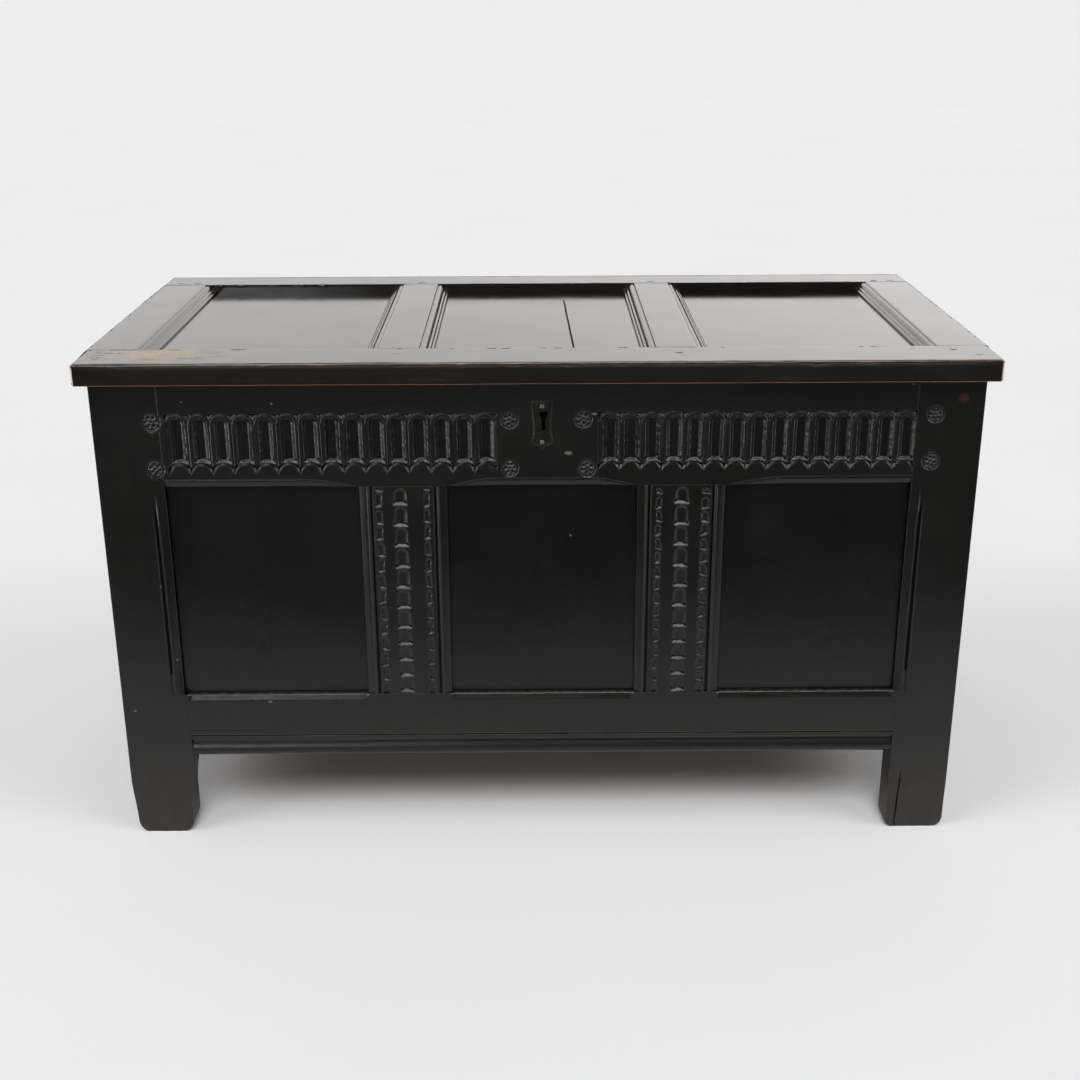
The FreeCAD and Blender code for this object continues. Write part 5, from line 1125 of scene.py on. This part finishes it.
def add_lid_frame():
    stations = lines(-LID_X, (LID_X, BAR_SPACING))
    for hand, (near, far, radii, steps, *hand_work) in LID_RAILS.items():
        section = [(near, LID_LOW), (far, LID_LOW), (far, LID_TOP), (near, LID_TOP)]
        make_piece(f"lid_{hand}_bar", bar("x", stations, eased(section, radii, steps), *hand_work),
                   lid_oak["x"], f"lid_{hand}_rail", "lid")
    sections = {("muntin", hand): reeded(near, 1) + reeded(far, -1)[::-1]
                for hand, (near, far) in LID_MUNTINS.items()}
    for hand, side in (("left", -1), ("right", 1)):
        outer = side * LID_X
        sections["stile", hand] = reeded(side * LID_STILE_X, side) + [(outer, LID_TOP), (outer, LID_LOW)]
    stations = lines(LID_FRONT_JOINT, (LID_BACK_JOINT, BAR_SPACING))
    for seed, ((kind, hand), section) in enumerate(sections.items(), LID_SEED):
        form = bar("y", stations, eased(section, 0.4, 2), LID_WAVER[kind], LID_CHIPS, seed, LID_EASE)
        make_piece(f"lid_{hand}_reeded_{kind}", form, lid_oak["y"], f"lid_{hand}_{kind}", "lid")


def add_lid_panel(hand, low, high, seed):
    """A gently uneven board. The middle one has a split."""
    split = hand == "middle"

    def relief(across, up):
        level = LID_PANEL_DEPTH + 0.2 * waves(across, up, 260, seed)
        level = level + 0.02 * waves(across, 0.3 * up, 60, seed + 1)
        if split:
            share = (up - SPLIT_FRONT[1]) / (SPLIT_BACK[1] - SPLIT_FRONT[1])
            line = SPLIT_FRONT[0] + share * (SPLIT_BACK[0] - SPLIT_FRONT[0])
            line = line + 0.8 * waves(0 * up, up, 90, seed + 2)
            open_part = smooth(share, -0.06, 0.1) * smooth(-share, -1.05, -0.9)
            level = level + vee(across - line, SPLIT_HALF, SPLIT_DEEP) * open_part
        return level

    low, high = low - PANEL_TONGUE, high + PANEL_TONGUE
    across = lines(low, (40, 4), (56, 0.5), (high, 4)) if split else lines(low, (high, 4))
    up = lines(LID_FRONT_JOINT - PANEL_TONGUE, (LID_BACK_JOINT + PANEL_TONGUE, 5))
    board = slab(on_lid, across, up, relief, [(0, LID_PANEL_SHOULDER), (PANEL_BEVEL, LID_PANEL_BACK)],
                 PANEL_EASE)
    make_piece(f"lid_{hand}_field", board, lid_oak["y"], f"lid_{hand}_panel", "lid")


# -------- CAD nodes that are shown as they are

# The edges that Blender eases: on wood and on iron, in mm
WOOD_EASE = 0.9
IRON_EASE = 0.3
EASE_ANGLE = radians(32)
WELD = 0.01
IRON_WORDS = ("hinge", "nails", "escutcheon", "lock", "staple")


def ease_edges(piece, width):
    """Small rounds on a CAD node's edges, with clean shading."""
    piece.modifiers.new("weld", "WELD").merge_threshold = WELD * MM
    bevel = piece.modifiers.new("ease", "BEVEL")
    bevel.width = width * MM
    bevel.segments = 2
    bevel.limit_method = "ANGLE"
    bevel.angle_limit = EASE_ANGLE
    bevel.use_clamp_overlap = True
    piece.modifiers.new("normals", "WEIGHTED_NORMAL").keep_sharp = True


def grain_of(node):
    """The way the grain runs in a side, back or inner member."""
    if "stile" in node or "muntin" in node or "panel" in node:
        return "z"
    return "y" if node.startswith(("left", "right")) else "x"


def dress_cad_nodes():
    for node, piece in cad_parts.items():
        if piece.hide_render:
            continue
        if any(word in node for word in IRON_WORDS):
            material, width = nail_iron if node == "lock_nails" else black_iron, IRON_EASE
        elif node.startswith("bottom_board"):
            material, width = board_oak, WOOD_EASE
        elif node.endswith("pegs"):
            material, width = lid_oak["y"] if node == "lid_pegs" else peg_oak, IRON_EASE
        else:
            material, width = side_oak[grain_of(node)], WOOD_EASE
        piece.data.materials.clear()
        piece.data.materials.append(material)
        ease_edges(piece, width)


# -------- studio

FLOOR_HALF = 500.0
# The room's light at the horizon and overhead
HORIZON_LIGHT = 0.13
OVERHEAD_LIGHT = 0.50
# The room's lamps: degrees from the front to the right, degrees up, degrees wide, and strength
SUNS = {
    "front_lamp": (0, 49, 26, 1.66),
    "left_lamp": (-66, 38, 30, 0.74),
    "right_lamp": (66, 38, 30, 0.62),
}
# Softboxes that show in the gloss: place, what they point at, width, height and light in watts
SOFTBOXES = {
    "top": ((0.0, -1.2, 3.0), (0.0, -0.3, 0.5), 2.4, 1.0, 60),
    "left": ((-2.1, -0.6, 2.0), (-0.2, -0.3, 0.5), 1.6, 1.9, 75),
    "right": ((2.1, -0.6, 2.0), (0.2, -0.3, 0.5), 1.6, 1.9, 65),
    "low_left": ((-2.0, -0.45, 0.14), (0.0, -0.3, 0.4), 1.6, 0.5, 24),
    "low_right": ((2.0, -0.45, 0.14), (0.0, -0.3, 0.4), 1.6, 0.5, 11),
    "low_front": ((0.0, -3.5, 0.3), (0.0, -0.3, 0.55), 3.0, 0.25, 4),
    "left_front": ((-1.3, -3.4, 1.7), (-0.4, -0.3, 0.15), 1.0, 0.5, 18),
}
# The bright sheet that the lid mirrors: its half width, its lower and upper edge as (y, z), and its
# light at the two ends of the run over which it brightens
SHEET_HALF = 7.0
SHEET_EDGES = ((4.7, 1.22), (3.33, 3.73))
SHEET_LIGHT = (1.32, 1.85)
SHEET_RUN = (-0.8, 2.4)
# Black cards that only show in the gloss: on the floor before the chest, and upright behind it
CARD_HALF = 3.5
CARD_NEAR = -0.92
CARD_FAR = -3.6
CARD_TOP = 2.0
CARD_LIFT = 0.002


def stage_sheet(name, material, half, near, far, seen=False):
    """A flat sheet between two edges, each as (y, z). Unseen, it only shows in the gloss."""
    mesh = bpy.data.meshes.new(name)
    mesh.from_pydata([(-half, *near), (half, *near), (half, *far), (-half, *far)], [], [(0, 1, 2, 3)])
    mesh.materials.append(material)
    sheet = add_object(name, mesh)
    sheet.visible_camera = sheet.visible_diffuse = sheet.visible_shadow = seen


def add_light(name, kind, energy, way):
    """A lamp that shines along a way."""
    data = bpy.data.lights.new(name, kind)
    data.energy = energy
    light = add_object(name, data)
    light.rotation_euler = way.to_track_quat("-Z", "Y").to_euler()
    return light


def add_studio():
    paper = material_graph("floor_paper")
    mottle = paper.noise(scale=1.5, detail=2.0)
    grain = paper.noise(scale=400.0, detail=2.0)
    paper.finish(Base_Color=paper.mix(mottle, (0.80, 0.80, 0.805), (0.83, 0.83, 0.835)), Roughness=0.8,
                 Normal=paper.bump(grain, 0.0002, 0.2), Specular_IOR_Level=0.0)
    black = material_graph("black_card").finish(Base_Color=(0.01, 0.01, 0.01), Specular_IOR_Level=0.0)
    glow = material_graph("bright_sheet")
    glow.finish(Base_Color=(0.0, 0.0, 0.0), Emission_Color=(1.0, 0.985, 0.975),
                Emission_Strength=glow.fade(glow.coordinate("X"), *SHEET_RUN, *SHEET_LIGHT))
    stage_sheet("floor", paper.owner, FLOOR_HALF, (-FLOOR_HALF, 0), (FLOOR_HALF, 0), seen=True)
    stage_sheet("floor_card", black, CARD_HALF, (CARD_FAR, CARD_LIFT), (CARD_NEAR, CARD_LIFT))
    stage_sheet("upright_card", black, CARD_HALF, (CARD_FAR, 0), (CARD_FAR, CARD_TOP))
    stage_sheet("bright_sheet", glow.owner, SHEET_HALF, *SHEET_EDGES)

    sky = Graph(bpy.data.worlds.new("studio"), "Background")
    height = sky.add("SeparateXYZ", {0: sky.add("TexCoord").outputs["Generated"]}).outputs["Z"]
    bpy.context.scene.world = sky.finish(Color=(1.0, 1.0, 1.0),
                                         Strength=sky.fade(height, 0, 1, HORIZON_LIGHT, OVERHEAD_LIGHT))
    for name, (turn, rise, wide, strength) in SUNS.items():
        turn, rise = radians(turn), radians(rise)
        toward = Vector((sin(turn) * cos(rise), -cos(turn) * cos(rise), sin(rise)))
        light = add_light(name, "SUN", strength, -toward)
        light.data.angle = radians(wide)
        light.visible_glossy = False
    for name, (place, target, width, height, power) in SOFTBOXES.items():
        light = add_light(name, "AREA", power, Vector(target) - Vector(place))
        light.data.shape = "RECTANGLE"
        light.data.size, light.data.size_y = width, height
        light.location = place
        light.visible_camera = light.visible_diffuse = False
    bpy.context.scene.view_settings.view_transform = "Standard"


# -------- the scene

add_camera()
add_top_rail()
for side in (-1, 1):
    add_stile(side)
for node in MUNTINS:
    add_muntin(node)
add_bottom_rail()
for seed, (hand, edges) in enumerate(BAYS.items(), PANEL_SEED):
    add_front_panel(hand, *edges, seed)
add_front_pegs()
add_escutcheon()
add_lid_frame()
for seed, (hand, edges) in enumerate(LID_BAYS.items(), LID_PANEL_SEED):
    add_lid_panel(hand, *edges, seed)
dress_cad_nodes()
add_studio()
